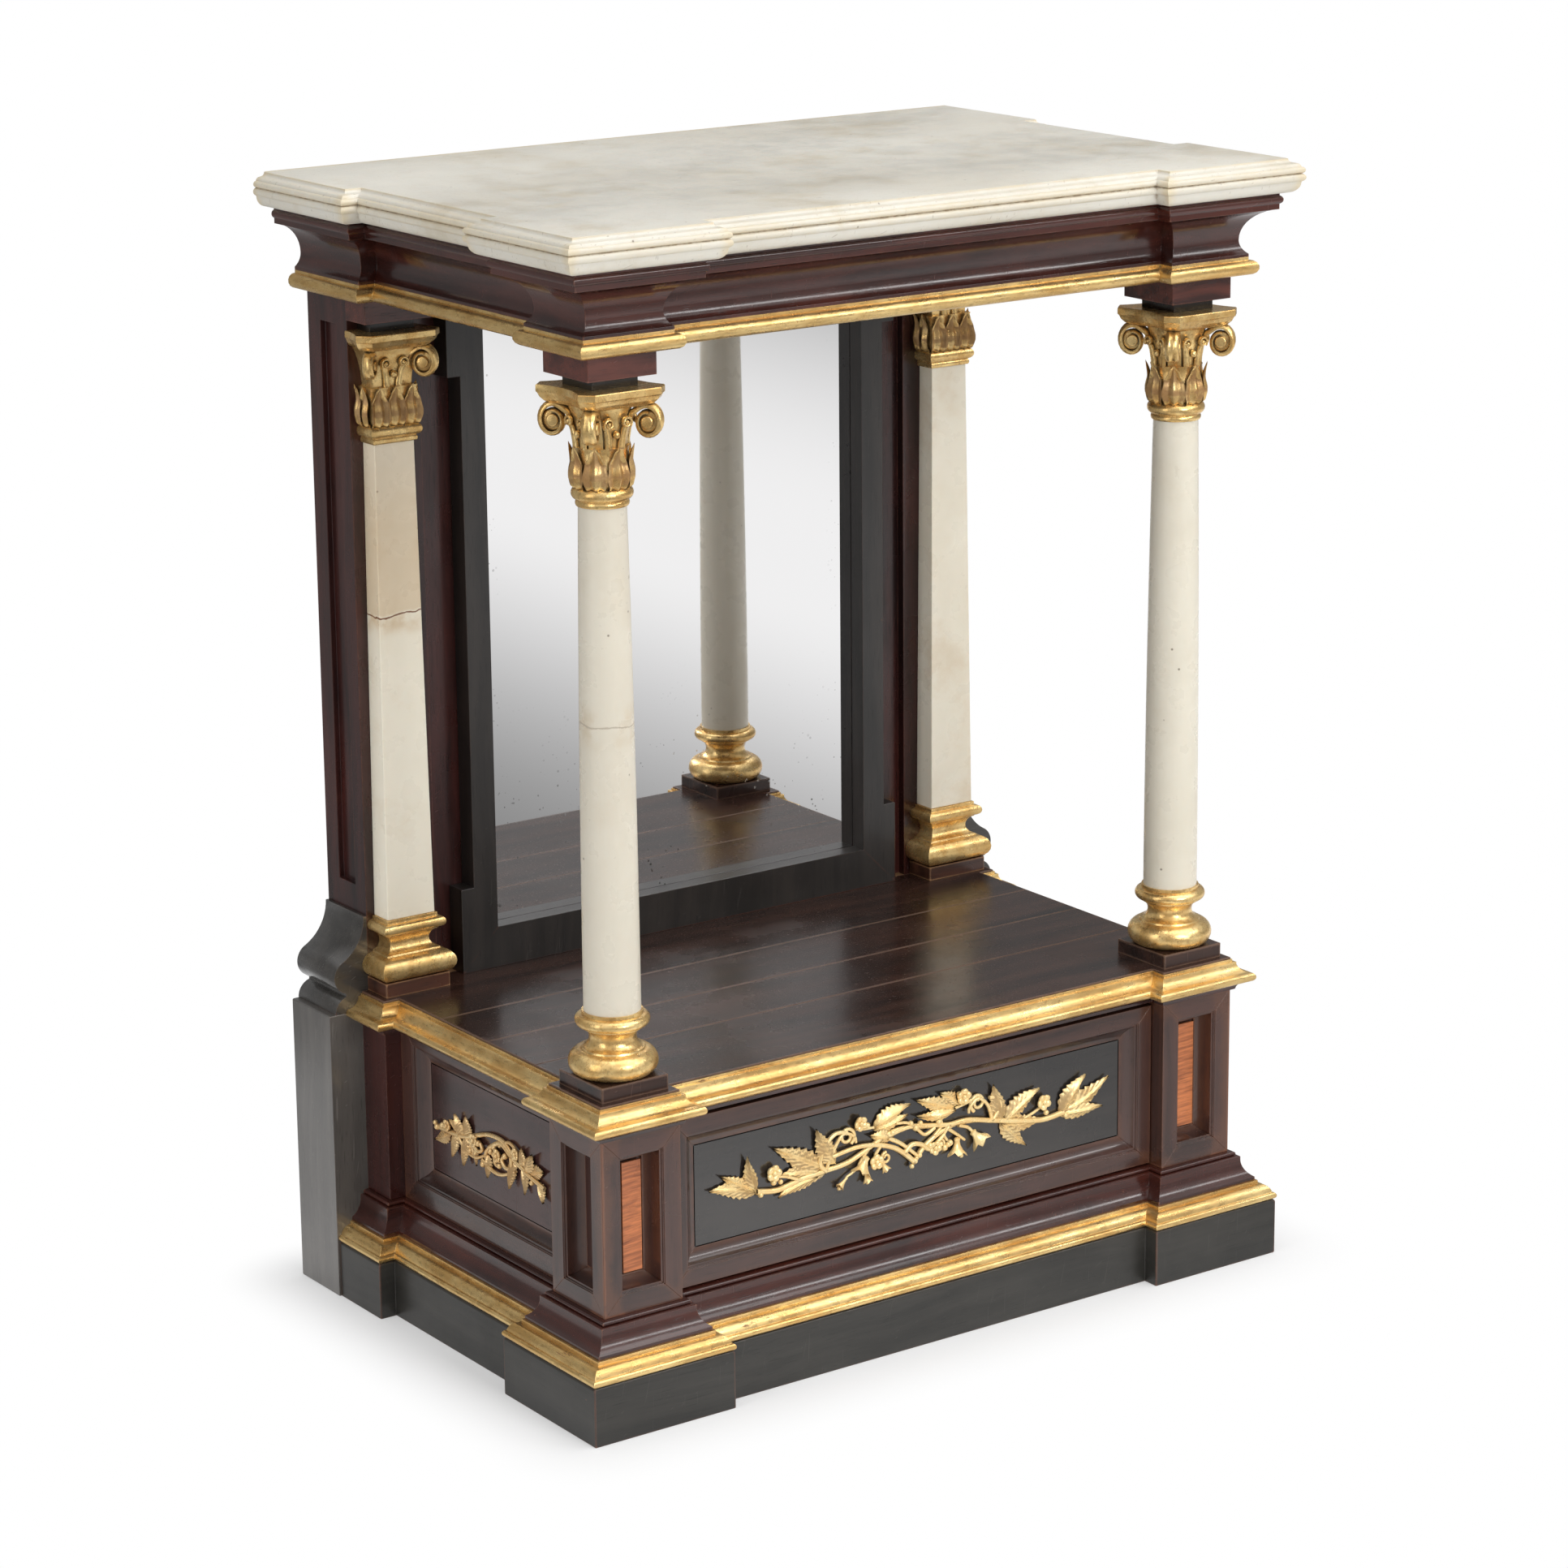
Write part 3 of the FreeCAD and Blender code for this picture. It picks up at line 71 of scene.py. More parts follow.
class Nodes:
    """A node tree and short ways to add to it; an input is a value or the socket that feeds it."""

    def __init__(self, tree):
        self.tree = tree

    def feed(self, sockets, inputs):
        for key, value in inputs.items():
            if isinstance(value, bpy.types.NodeSocket):
                self.tree.links.new(value, sockets[key])
            else:
                sockets[key].default_value = value

    def add(self, kind, inputs, **settings):
        made = self.tree.nodes.new("ShaderNode" + kind)
        for setting, value in settings.items():
            setattr(made, setting, value)
        self.feed(made.inputs, inputs)
        return made.outputs

    def maths(self, operation, first, second=0.0, third=0.0):
        return self.add("Math", {0: first, 1: second, 2: third}, operation=operation)[0]

    def times(self, first, second):
        return self.maths("MULTIPLY", first, second)

    def plus(self, base, value, share):
        return self.maths("MULTIPLY_ADD", value, share, base)

    def most(self, first, second):
        return self.maths("MAXIMUM", first, second)

    def vector(self, operation, first, second=(0, 0, 0)):
        return self.add("VectorMath", {0: first, 1: second}, operation=operation)[0]

    def cloud(self, vector, scale, detail=4.0, roughness=0.55):
        inputs = {"Vector": vector, "Scale": scale, "Detail": detail, "Roughness": roughness}
        return self.add("TexNoise", inputs)["Fac"]

    def span(self, value, low, high, to_low=0.0, to_high=1.0):
        """Carries a value from one range to another, smoothly, and no further."""
        inputs = {0: value, 1: low, 2: high, 3: to_low, 4: to_high}
        return self.add("MapRange", inputs, interpolation_type="SMOOTHSTEP")[0]

    def patches(self, cloud, *ranges, on=None):
        """Where a cloud, given by its scale, detail and roughness, passes through a range."""
        return self.span(self.cloud(on or self.place, *cloud), *ranges)

    def blend(self, factor, first, second):
        return self.add("Mix", {0: factor, 6: first, 7: second}, data_type="RGBA", blend_type="MIX")[2]


# ---- shader effects shared by the finishes ----
class Effect(Nodes):
    """A shared node group, empty but for its sockets: it reads a vector and numbers and gives masks."""

    def __init__(self, name, numbers, masks):
        super().__init__(bpy.data.node_groups.new(name, "ShaderNodeTree"))
        socket = self.tree.interface.new_socket
        socket("Vector", in_out="INPUT", socket_type="NodeSocketVector")
        for label, value in numbers.items():
            socket(label, in_out="INPUT", socket_type="NodeSocketFloat").default_value = value
        for label in masks:
            socket(label, in_out="OUTPUT", socket_type="NodeSocketFloat")
        self.given = self.tree.nodes.new("NodeGroupInput").outputs
        self.place = self.given["Vector"]
        self.result = self.tree.nodes.new("NodeGroupOutput").inputs


def wood_figure_effect():
    """Streaks and open pores that run along the first axis of the vector."""
    wood = Effect("wood_figure", {"Streaks": 55.0}, ("Figure", "Pores"))
    waver = wood.add("TexNoise", {"Vector": wood.place, "Scale": 5.0, "Detail": 2.0})["Color"]
    shift = wood.vector("SUBTRACT", waver, (0.5, 0.5, 0.5))
    drift = wood.add("VectorMath", {0: shift, "Scale": 0.035}, operation="SCALE")[0]
    wavy = wood.vector("ADD", wood.place, drift)
    fine = wood.cloud(wood.vector("MULTIPLY", wavy, (0.05, 1, 1)), wood.given["Streaks"], 6.0, 0.6)
    broad = wood.cloud(wood.vector("MULTIPLY", wavy, (0.09, 1, 1)), 11.0, 3.0)
    together = wood.maths("ADD", wood.times(fine, 0.65), wood.times(broad, 0.35))
    along = wood.vector("MULTIPLY", wood.place, (0.05, 1, 1))
    pores = wood.patches((900.0, 2.0), 0.60, 0.68, on=along)
    wood.feed(wood.result, {"Figure": wood.span(together, 0.36, 0.64), "Pores": pores})
    return wood.tree


def edge_effect(name, size, distance, inside, scale, uneven, most, soft):
    """White on outer edges (inside) or in hollows, broken up along their length."""
    edge = Effect(name, {size: distance, "Amount": 0.5}, ("Mask",))
    reach = {"Distance": edge.given[size]}
    open_sky = edge.add("AmbientOcclusion", reach, samples=6, inside=inside, only_local=True)["AO"]
    near = edge.maths("SUBTRACT", 1.0, open_sky)
    breaks = edge.cloud(edge.place, scale, 6.0, 0.7)
    marked = edge.times(near, edge.maths("MULTIPLY_ADD", breaks, *uneven))
    low = edge.maths("SUBTRACT", most, edge.given["Amount"])
    edge.feed(edge.result, {"Mask": edge.span(marked, low, edge.maths("ADD", low, soft))})
    return edge.tree


def fine_scratches_effect():
    """Thin lines that cross a polished surface in a few directions, with small pale specks."""
    mark = Effect("fine_scratches", {"Amount": 0.5}, ("Lines", "Specks"))
    lines = None
    for angle in (0.4, 1.5, 2.6):
        turn = {"Vector": mark.place, "Rotation": (angle, angle * 0.7, angle)}
        turned = mark.add("VectorRotate", turn, rotation_type="EULER_XYZ")[0]
        drawn = mark.vector("MULTIPLY", turned, (0.03, 1, 1))
        line = mark.patches((520.0, 1.0), 0.735, 0.76, on=drawn)
        lines = mark.most(lines, line) if lines else line
    cells = mark.add("TexVoronoi", {"Vector": mark.place, "Scale": 90.0})["Distance"]
    specks = mark.times(mark.span(cells, 0.09, 0.05), mark.patches((23.0, 2.0), 0.60, 0.66))
    amount = mark.given["Amount"]
    mark.feed(mark.result, {"Lines": mark.times(lines, amount), "Specks": mark.times(specks, amount)})
    return mark.tree


wood_figure = wood_figure_effect()
rubbed_arrises = edge_effect("rubbed_arrises", "Width", 0.003, True, 42.0, (2.2, -0.1), 0.85, 0.22)
# the hollows mask: where it is laid, its colour stands for dirt and for painted shade together
hollow_dirt_and_shade = edge_effect("hollow_dirt_and_shade", "Reach", 0.004, False, 150.0, (1.6, 0.2), 0.70, 0.35)
fine_scratches = fine_scratches_effect()


# ---- ways of finishing ----
# SHADE is painted shade; the colours laid in the hollows of gilt and stone are dirt and painted shade together
SHADE, GILT_DIRT_AND_SHADE = (0.006, 0.004, 0.0035), (0.030, 0.015, 0.006)
STONE_PIT, STONE_SCRATCH = (0.11, 0.07, 0.04), (0.26, 0.21, 0.16)
STONE_YELLOW, STONE_DIRT_AND_SHADE = (0.64, 0.54, 0.36), (0.34, 0.245, 0.145)
SILVER, LOST_SILVER = (0.870, 0.865, 0.868), (0.16, 0.16, 0.15)
IRON, RUST = (0.035, 0.03, 0.028), (0.12, 0.06, 0.03)


class Finish(Nodes):
    """A material with its Principled shader, and the colour that is built up for it in layers."""

    def __init__(self, name):
        self.material = bpy.data.materials.new(name)
        self.material.use_nodes = True
        super().__init__(self.material.node_tree)
        self.shader = self.tree.nodes["Principled BSDF"]
        self.place = self.add("TexCoord", {})["Object"]

    def along(self, way):
        """Where a pattern is read: the piece's grain attribute, or the object turned to the grain."""
        if way == "run":
            return self.add("Attribute", {}, attribute_name="grain")["Vector"]
        turns = {"x": (0, 0, 0), "y": (0, 0, -pi / 2), "z": (0, pi / 2, 0)}
        return self.add("Mapping", {"Vector": self.place, "Rotation": turns[way]})[0]

    def part(self, axis):
        return self.add("SeparateXYZ", {0: self.place})[axis]

    def use(self, effect, **inputs):
        return self.add("Group", {"Vector": self.place, **inputs}, node_tree=effect)

    def ground(self, factor, first, second):
        self.tone = self.blend(factor, colour(first), colour(second))

    def lay(self, mask, pigment, share=None, strength=1.0):
        """Lays a colour over what is there, where the mask is white."""
        cover = mask if share is None else self.times(mask, share)
        self.tone = self.blend(cover, self.tone, colour(pigment, strength))

    def finished(self, inputs, relief=None):
        """Feeds the shader; a relief is its height, its distance and its strength."""
        self.feed(self.shader.inputs, inputs)
        self.feed(self.shader.inputs, {"Base Color": self.tone})
        if relief:
            bump = self.add("Bump", dict(zip(("Height", "Distance", "Strength"), relief)))
            self.feed(self.shader.inputs, {"Normal": bump[0]})
        return self.material


def polished_wood(name, way, tones, gloss, wear, streaks=55.0, marks=0.35, coat=0.25, handled=0.0,
                  flank=None, shaded_below=None, texture=0.5):
    """French-polished wood: streaked figure, filled pores, rubbed arrises, scratches and old wax."""
    dark, light, rubbed = tones
    wood = Finish(name)
    figure = wood.use(wood_figure, Vector=wood.along(way), Streaks=streaks)
    wood.ground(figure["Figure"], dark, light)
    wood.lay(figure["Pores"], dark, 0.5, 0.35)
    wood.lay(wood.patches((6.0, 5.0, 0.6), 0.42, 0.68), light, 0.28, 1.7)
    if handled:
        near = wood.vector("MULTIPLY", wood.place, (0.6, 0.6, 0.6))
        band = wood.use(rubbed_arrises, Vector=near, Width=0.010, Amount=0.50)["Mask"]
        wood.lay(band, rubbed, handled, 0.6)
    arris = wood.use(rubbed_arrises, Width=0.0022, Amount=wear)["Mask"]
    wood.lay(arris, rubbed, 0.7)
    lines, specks = wood.use(fine_scratches, Amount=marks)
    wood.lay(lines, light, 0.3, 2.6)
    wood.lay(specks, rubbed)
    # the flanks of the inlays are drawn in a dark tone: a darker wood, and painted shade of the side faces
    if flank:
        front_face = wood.maths("LESS_THAN", wood.part("Y"), (CASE_FRONT + 20) * MM)
        wood.tone = wood.blend(front_face, colour(flank), wood.tone)
    if shaded_below:
        wood.lay(wood.maths("LESS_THAN", wood.part("Z"), shaded_below), SHADE)
    haze = wood.cloud(wood.place, 14.0)
    rough = wood.span(haze, 0.35, 0.7, gloss, gloss + 0.10)
    rough = wood.plus(wood.plus(rough, arris, 0.18), lines, 0.2)
    height = wood.plus(wood.times(figure["Figure"], 0.3), figure["Pores"], -0.7)
    height = wood.plus(wood.maths("SUBTRACT", height, lines), haze, 1.2)
    return wood.finished({"Roughness": rough, "Coat Weight": coat, "Coat Roughness": 0.13},
                         (height, 0.00010, texture))


def gilding(name, tones, wear, rough, grime_and_shade, reach=0.004, way=None, flakes=1.0, metal=0.80):
    """Gold leaf over clay on a carved ground, rubbed through, and dark in its hollows with dirt and painted shade.
    """
    bright, shade, bole = tones
    gold = Finish(name)
    laid = gold.vector("MULTIPLY", gold.along(way), (0.30, 1, 1)) if way else gold.place
    gold.ground(gold.patches((55.0, 6.0, 0.62), 0.32, 0.68, on=laid), shade, bright)
    gold.lay(gold.patches((18.0, 4.0, 0.6), 0.40, 0.66), shade, 0.35 * flakes, 0.8)
    gold.lay(gold.patches((330.0, 4.0, 0.70), 0.52, 0.66, on=laid), shade, 0.50 * flakes, 0.5)
    rubbed = gold.patches((105.0, 8.0, 0.72), 0.70 - wear * 0.16, 0.77 - wear * 0.14, on=laid)
    arris = gold.use(rubbed_arrises, Width=0.0007, Amount=0.17 + wear * 0.42)["Mask"]
    rubbed = gold.most(rubbed, gold.times(arris, 0.7))
    gold.lay(rubbed, bole)
    # dirt and painted shade darken the hollows of the gilding
    dirt_and_shade = gold.use(hollow_dirt_and_shade, Reach=reach, Amount=grime_and_shade)["Mask"]
    gold.lay(dirt_and_shade, GILT_DIRT_AND_SHADE, 0.9)
    bare = gold.most(gold.times(rubbed, 0.8), gold.times(dirt_and_shade, 0.8))
    uneven = gold.patches((90.0,), 0.3, 0.7, rough, rough + 0.14)
    height = gold.plus(gold.cloud(laid, 140.0, 7.0, 0.68), gold.cloud(gold.place, 620.0, 3.0, 0.6), 0.20 * flakes)
    height = gold.plus(height, rubbed, -0.35)
    return gold.finished({"Metallic": gold.plus(metal, bare, -metal), "Roughness": gold.plus(uneven, bare, 0.2)},
                         (height, 0.0010, 0.36 * flakes))


def marble(name, tones, stained, grime_and_shade, gloss, crack=None, left_only=False, lines=0.0, yellowed=0.0):
    """Old white marble: soft clouds, brown stains, pits, dirt and painted shade in its hollows and a mended crack.
    """
    white, cloudy, stain = tones
    stone = Finish(name)
    stone.ground(stone.patches((5.0, 7.0, 0.6), 0.34, 0.68), white, cloudy)
    stone.lay(stone.patches((11.0, 8.0, 0.70), 0.47, 0.70), stain, stained)
    cells = stone.add("TexVoronoi", {"Vector": stone.place, "Scale": 60.0})["Distance"]
    pits = stone.times(stone.span(cells, 0.085, 0.03), stone.patches((19.0, 2.0), 0.55, 0.60))
    stone.lay(pits, STONE_PIT, 0.75)
    stone.lay(stone.use(fine_scratches, Amount=lines)["Lines"], STONE_SCRATCH, 0.55)
    if yellowed:
        rim = stone.use(rubbed_arrises, Width=0.012, Amount=0.68)["Mask"]
        stone.lay(rim, STONE_YELLOW, yellowed)
    # dirt and painted shade, broken into brown specks, darken the hollows of the stone
    dirt_and_shade = stone.use(hollow_dirt_and_shade, Reach=0.006, Amount=grime_and_shade)["Mask"]
    specks = stone.patches((210.0, 4.0, 0.7), 0.44, 0.60, 0.25, 1.0)
    stone.lay(stone.times(dirt_and_shade, specks), STONE_DIRT_AND_SHADE)
    depth = pits
    if crack:
        height, mend = crack
        split = stone.plus(height + 0.006, stone.cloud(stone.place, 28.0, 6.0, 0.6), -0.012)
        rise = stone.maths("SUBTRACT", stone.part("Z"), split)
        off = stone.maths("ABSOLUTE", rise)
        if left_only:
            across = stone.part("X")
            off = stone.maths("ADD", off, stone.maths("GREATER_THAN", across))  # out of reach on the right
        around = stone.times(stone.span(off, 0.022, 0.0), stone.patches((45.0, 5.0), 0.4, 0.7))
        if left_only:
            above = stone.times(stone.span(rise, 0.0, 0.003), stone.span(rise, 0.22, 0.03, 0.25, 0.62))
            around = stone.most(around, stone.times(above, stone.maths("LESS_THAN", across)))
        stone.lay(around, stain, 0.9)
        line = stone.span(off, 0.0009, 0.0003)
        stone.lay(line, mend)
        depth = stone.most(pits, line)
    rough = stone.patches((40.0,), 0.3, 0.7, gloss, gloss + 0.15)
    height = stone.plus(stone.times(depth, -1.0), stone.cloud(stone.place, 60.0, 5.0), 0.4)
    return stone.finished({"Roughness": rough, "Subsurface Weight": 0.12, "Subsurface Scale": 1.0,
                           "Subsurface Radius": (0.006, 0.004, 0.003)}, (height, 0.0004, 0.35))


def silvered_glass():
    """Old silvering: a clear reflection, greyer in patches, with dark spots near the foot."""
    glass = Finish("silvered_glass")
    near_foot = glass.span(glass.part("Z"), 0.52, 0.31)
    near_edge = glass.span(glass.maths("ABSOLUTE", glass.part("X")), 0.165, 0.20)
    cells = glass.add("TexVoronoi", {"Vector": glass.place, "Scale": 190.0})["Distance"]
    size = glass.patches((45.0, 3.0), 0.35, 0.75, 0.02, 0.26)
    spot = glass.span(glass.maths("SUBTRACT", cells, size), 0.04, -0.02)
    where = glass.times(glass.most(near_foot, near_edge), glass.patches((20.0, 3.0), 0.42, 0.62))
    spot = glass.times(spot, where)
    glass.ground(spot, SILVER, LOST_SILVER)
    dim = glass.maths("ADD", glass.times(glass.patches((6.0,), 0.4, 0.8), 0.02), 0.012)
    rough = glass.maths("ADD", dim, glass.times(spot, 0.35))
    return glass.finished({"Metallic": 1.0, "Roughness": rough})


def dark_iron():
    iron = Finish("dark_iron")
    iron.ground(iron.patches((80.0, 5.0), 0.4, 0.65), IRON, RUST)
    return iron.finished({"Metallic": 0.8, "Roughness": 0.6})


# ---- finishes of this table; a wood's tones are its dark and light streaks and its rubbed edges ----
MAHOGANY = (0.012, 0.0032, 0.0026), (0.068, 0.0165, 0.0105), (0.22, 0.085, 0.045)
BLOCK = (0.014, 0.0034, 0.0028), (0.105, 0.026, 0.016), (0.22, 0.085, 0.045)
CASE = (0.0165, 0.0085, 0.007), (0.064, 0.027, 0.0195), (0.2, 0.078, 0.038)
POST = (0.012, 0.0036, 0.0032), (0.056, 0.0135, 0.0105), (0.15, 0.05, 0.028)
PANEL = (0.02, 0.0095, 0.0085), (0.054, 0.023, 0.02), (0.12, 0.055, 0.032)
EBONISED = (0.013, 0.0112, 0.0102), (0.028, 0.0228, 0.0198), (0.08, 0.03, 0.018)
BRACKET = (0.034, 0.031, 0.028), (0.06, 0.055, 0.049), (0.13, 0.07, 0.05)
# the rear slabs' ebonised wood is drawn a pale grey: a painted sheen, the reflection of a bright side
SLAB_WITH_PAINTED_SHEEN = (0.078, 0.071, 0.064), (0.125, 0.113, 0.101), (0.16, 0.085, 0.06)
PLINTH = (0.02, 0.019, 0.0165), (0.04, 0.037, 0.032), (0.2, 0.085, 0.052)
SHELF = (0.013, 0.007, 0.0055), (0.054, 0.025, 0.0175), (0.2, 0.115, 0.075)
FOOT = (0.012, 0.0045, 0.0036), (0.085, 0.031, 0.017), (0.42, 0.22, 0.1)
INLAY = (0.17, 0.042, 0.014), (0.6, 0.19, 0.06), (0.45, 0.2, 0.1)
INNER = (0.19, 0.095, 0.042), (0.34, 0.19, 0.095), (0.42, 0.27, 0.15)
WOODS = (
    # name, way of the grain, tones, gloss, wear, the rest
    ("mahogany_run", "run", MAHOGANY, 0.17, 0.5, dict(coat=0.4)),
    ("case_mahogany", "run", CASE, 0.26, 0.52, dict(coat=0.6, handled=0.6)),
    ("mahogany_across", "x", MAHOGANY, 0.18, 0.5, {}),
    ("mahogany_upright", "z", POST, 0.24, 0.5, {}),
    ("block_wood", "x", BLOCK, 0.2, 0.5, dict(shaded_below=BLOCK_FOOT * MM)),
    ("dark_panel", "y", PANEL, 0.16, 0.3, dict(marks=0.5)),
    ("plinth_ebony", "run", PLINTH, 0.32, 0.7, dict(marks=0.7, coat=0.0)),
    # the rear slabs: ebonised wood with a painted sheen in its colour
    ("slab_ebony", "z", SLAB_WITH_PAINTED_SHEEN, 0.28, 0.42, dict(marks=0.9, coat=1.0)),
    ("bracket_ebony", "x", BRACKET, 0.2, 0.45, dict(marks=0.8, coat=0.6)),
    ("ebonised_upright", "z", EBONISED, 0.28, 0.45, dict(marks=0.7)),
    ("ebonised_across", "x", EBONISED, 0.22, 0.4, dict(marks=0.5, coat=1.0)),
    ("shelf_wood", "x", SHELF, 0.2, 0.78, dict(marks=1.0, coat=0.0, texture=0.12)),
    ("foot_wood", "x", FOOT, 0.26, 0.66, dict(marks=0.5)),
    # its flank colour is a darker wood and painted shade of the side faces
    ("inlay_wood", "x", INLAY, 0.26, 0.2, dict(marks=0.1, streaks=420.0, flank=(0.045, 0.014, 0.009))),
    ("inner_wood", "x", INNER, 0.55, 0.3, dict(marks=0.2, coat=0.0)),
    ("inner_wood_deep", "y", INNER, 0.55, 0.3, dict(marks=0.2, coat=0.0)),
)
# bright leaf, shaded leaf and the clay or metal beneath
GOLD = (1.0, 0.735, 0.33), (0.72, 0.44, 0.15), (0.2, 0.085, 0.034)
CAST = (1.0, 0.79, 0.4), (0.98, 0.67, 0.285), (0.26, 0.14, 0.05)
# the side mounts' cast gilding is drawn darker than the drawer's: painted shade of the less-lit sides, with more
# grime and painted shade in its hollows
SHADED_SIDE_CAST = (1.0, 0.735, 0.375), (0.86, 0.545, 0.235), (0.26, 0.14, 0.05)
GILDINGS = (
    # name, tones, wear, roughness, grime and painted shade in the hollows, the rest
    ("gilt_run", GOLD, 0.48, 0.23, 0.32, dict(way="run", metal=0.88)),
    ("gilt_wood", GOLD, 0.38, 0.21, 0.3, {}),
    ("gilt_carving", GOLD, 0.32, 0.19, 0.32, {}),
    ("gilt_metal", CAST, 0.03, 0.24, 0.25, dict(metal=0.38, reach=0.0025, flakes=0.15)),
    ("side_gilt_metal", SHADED_SIDE_CAST, 0.03, 0.22, 0.36, dict(metal=0.62, reach=0.003, flakes=0.15)),
)
MARBLES = (
    # name, white, cloudy and stained tones, stains, grime and painted shade in the hollows, gloss, the rest
    ("marble_top", ((0.67, 0.645, 0.575), (0.61, 0.575, 0.495), (0.5, 0.43, 0.31)), 0.6, 0.46, 0.28,
     dict(lines=1.0, yellowed=0.75)),
    ("shaft_marble_left", ((0.68, 0.635, 0.535), (0.63, 0.58, 0.48), (0.54, 0.45, 0.32)), 0.25, 0.4, 0.24,
     dict(crack=(0.569, (0.46, 0.4, 0.32)))),
    ("shaft_marble_right", ((0.7, 0.655, 0.55), (0.64, 0.59, 0.48), (0.52, 0.44, 0.32)), 0.25, 0.4, 0.24, {}),
    ("pilaster_marble", ((0.86, 0.8, 0.665), (0.8, 0.725, 0.575), (0.6, 0.43, 0.24)), 0.35, 0.42, 0.24,
     dict(crack=(0.597, (0.19, 0.075, 0.03)), left_only=True)),
)
coats = {"silvered_glass": silvered_glass(), "dark_iron": dark_iron()}
for way_of_finishing, table in ((polished_wood, WOODS), (gilding, GILDINGS), (marble, MARBLES)):
    for name, *look, rest in table:
        coats[name] = way_of_finishing(name, *look, **rest)


# ---- ways of making a piece ----
def new_shape():
    shape = bmesh.new()
    shape.verts.layers.float_vector.new("chart")
    shape.verts.layers.float_vector.new("grain")
    return shape


def add_part(shape, part):
    """Sets a part that was made by itself into the piece."""
    carried = bpy.data.meshes.new("part")
    part.to_mesh(carried)
    part.free()
    shape.from_mesh(carried)
    bpy.data.meshes.remove(carried)


def placed(at, right, out, up):
    """The place of a part: where it stands and the ways of its own three axes."""
    return Matrix.Translation(at) @ Matrix((right, out, up)).transposed().to_4x4()


def draw_section(shape, start, moves, steps):
    """Draws a section from its foot up its face: straight to a point, or by a cove, round or bead."""
    chart = shape.verts.layers.float_vector["chart"]
    first = bmesh.ops.create_vert(shape, co=(start[0], 0, start[1]))["vert"][0]
    last = first
    for move in moves:
        kind, across, up, *swell = move if isinstance(move[0], str) else ("line", *move)
        run = Vector((across, 0, up)) - last.co
        if kind == "line":
            last = bmesh.ops.extrude_vert_indiv(shape, verts=[last])["verts"][0]
            last.co += run
            continue
        lean = atan2(min(abs(run.x), abs(run.z)), max(abs(run.x), abs(run.z)))
        turn = {"cove": -2 * lean, "round": 2 * lean}.get(kind)
        if swell:
            turn = 4 * atan(2 * swell[0] / run.length)
        left = Vector((-run.z, 0, run.x)) / 2
        centre = last.co + run / 2 + left / tan(turn / 2)
        arc = bmesh.ops.spin(shape, geom=[last], cent=centre, axis=-Y, angle=turn, steps=steps)
        last = arc["geom_last"][0]
    chain = [first]
    while chain[-1] != last:
        ahead = [edge.other_vert(chain[-1]) for edge in chain[-1].link_edges]
        chain += [corner for corner in ahead if corner not in chain[-2:]]
    around = 0.0
    previous = first
    for corner in chain:
        around += (corner.co - previous.co).length
        corner[chart] = (corner.co.x, corner.co.z, around)
        previous = corner
    return chain, [shape.edges.get(pair) for pair in zip(chain, chain[1:])]


def sweep(shape, stations, start, moves, steps=6, shift=0.0, closed=True):
    """Carries a section along stations, (origin, out, up); a closed one also closes both ends."""
    chart = shape.verts.layers.float_vector["chart"]
    grain = shape.verts.layers.float_vector["grain"]
    ring, edges = draw_section(shape, start, moves, steps)
    if closed:
        edges.append(shape.edges.new((ring[-1], ring[0])))
    first_edges = edges
    made = list(ring)
    travelled = 0.0
    for number, (origin, out, up) in enumerate(stations):
        if number:
            grown = bmesh.ops.extrude_edge_only(shape, edges=edges)["geom"]
            ring = [part for part in grown if isinstance(part, bmesh.types.BMVert)]
            edges = [part for part in grown if isinstance(part, bmesh.types.BMEdge)]
            made += ring
            travelled += (origin - stations[number - 1][0]).length
        for corner in ring:
            across, lift, around = corner[chart]
            corner.co = origin + out * across + up * lift
            corner[grain] = (travelled * MM, around * MM + shift, shift)
    if closed:
        bmesh.ops.contextual_create(shape, geom=first_edges)
        bmesh.ops.contextual_create(shape, geom=edges)
    return made


def break_front(back):
    """Stations round the case: along the left side, across the front and back up the right side."""
    half = [(PIER_OUT, back), (PIER_OUT, REAR_PIER_FRONT), (RECESS_SIDE, REAR_PIER_FRONT),
            (RECESS_SIDE, PIER_BACK), (PIER_OUT, PIER_BACK), (PIER_OUT, CASE_FRONT),
            (PIER_IN, CASE_FRONT), (PIER_IN, RECESS_FRONT)]
    corners = [Vector((-x, y, 0)) for x, y in half] + [Vector((x, y, 0)) for x, y in reversed(half)]
    runs = [(end - begin).normalized() for begin, end in zip(corners, corners[1:])]
    outward = [Vector((run.y, -run.x, 0)) for run in runs]
    mitres = [outward[0]] + [a + b for a, b in zip(outward, outward[1:])] + [outward[-1]]
    return [(corner, mitre, Z) for corner, mitre in zip(corners, mitres)]


def half_square(x, y=SLAB_FRONT):
    """Stations for a square moulding that stands with its back against a rear post."""
    foot = Vector((x, y, 0))
    return [(foot, way, Z) for way in (-X, -X - Y, X - Y, X)]


def turn_up(shape, x, y, start, moves, steps, sides=64):
    """Turns a section round an upright axis, as on a lathe."""
    chain, edges = draw_section(shape, start, moves, steps)
    bmesh.ops.spin(shape, geom=chain + edges, cent=(0, 0, 0), axis=Z, angle=2 * pi, steps=sides, use_merge=True)
    bmesh.ops.translate(shape, vec=(x, y, 0), verts=shape.verts)


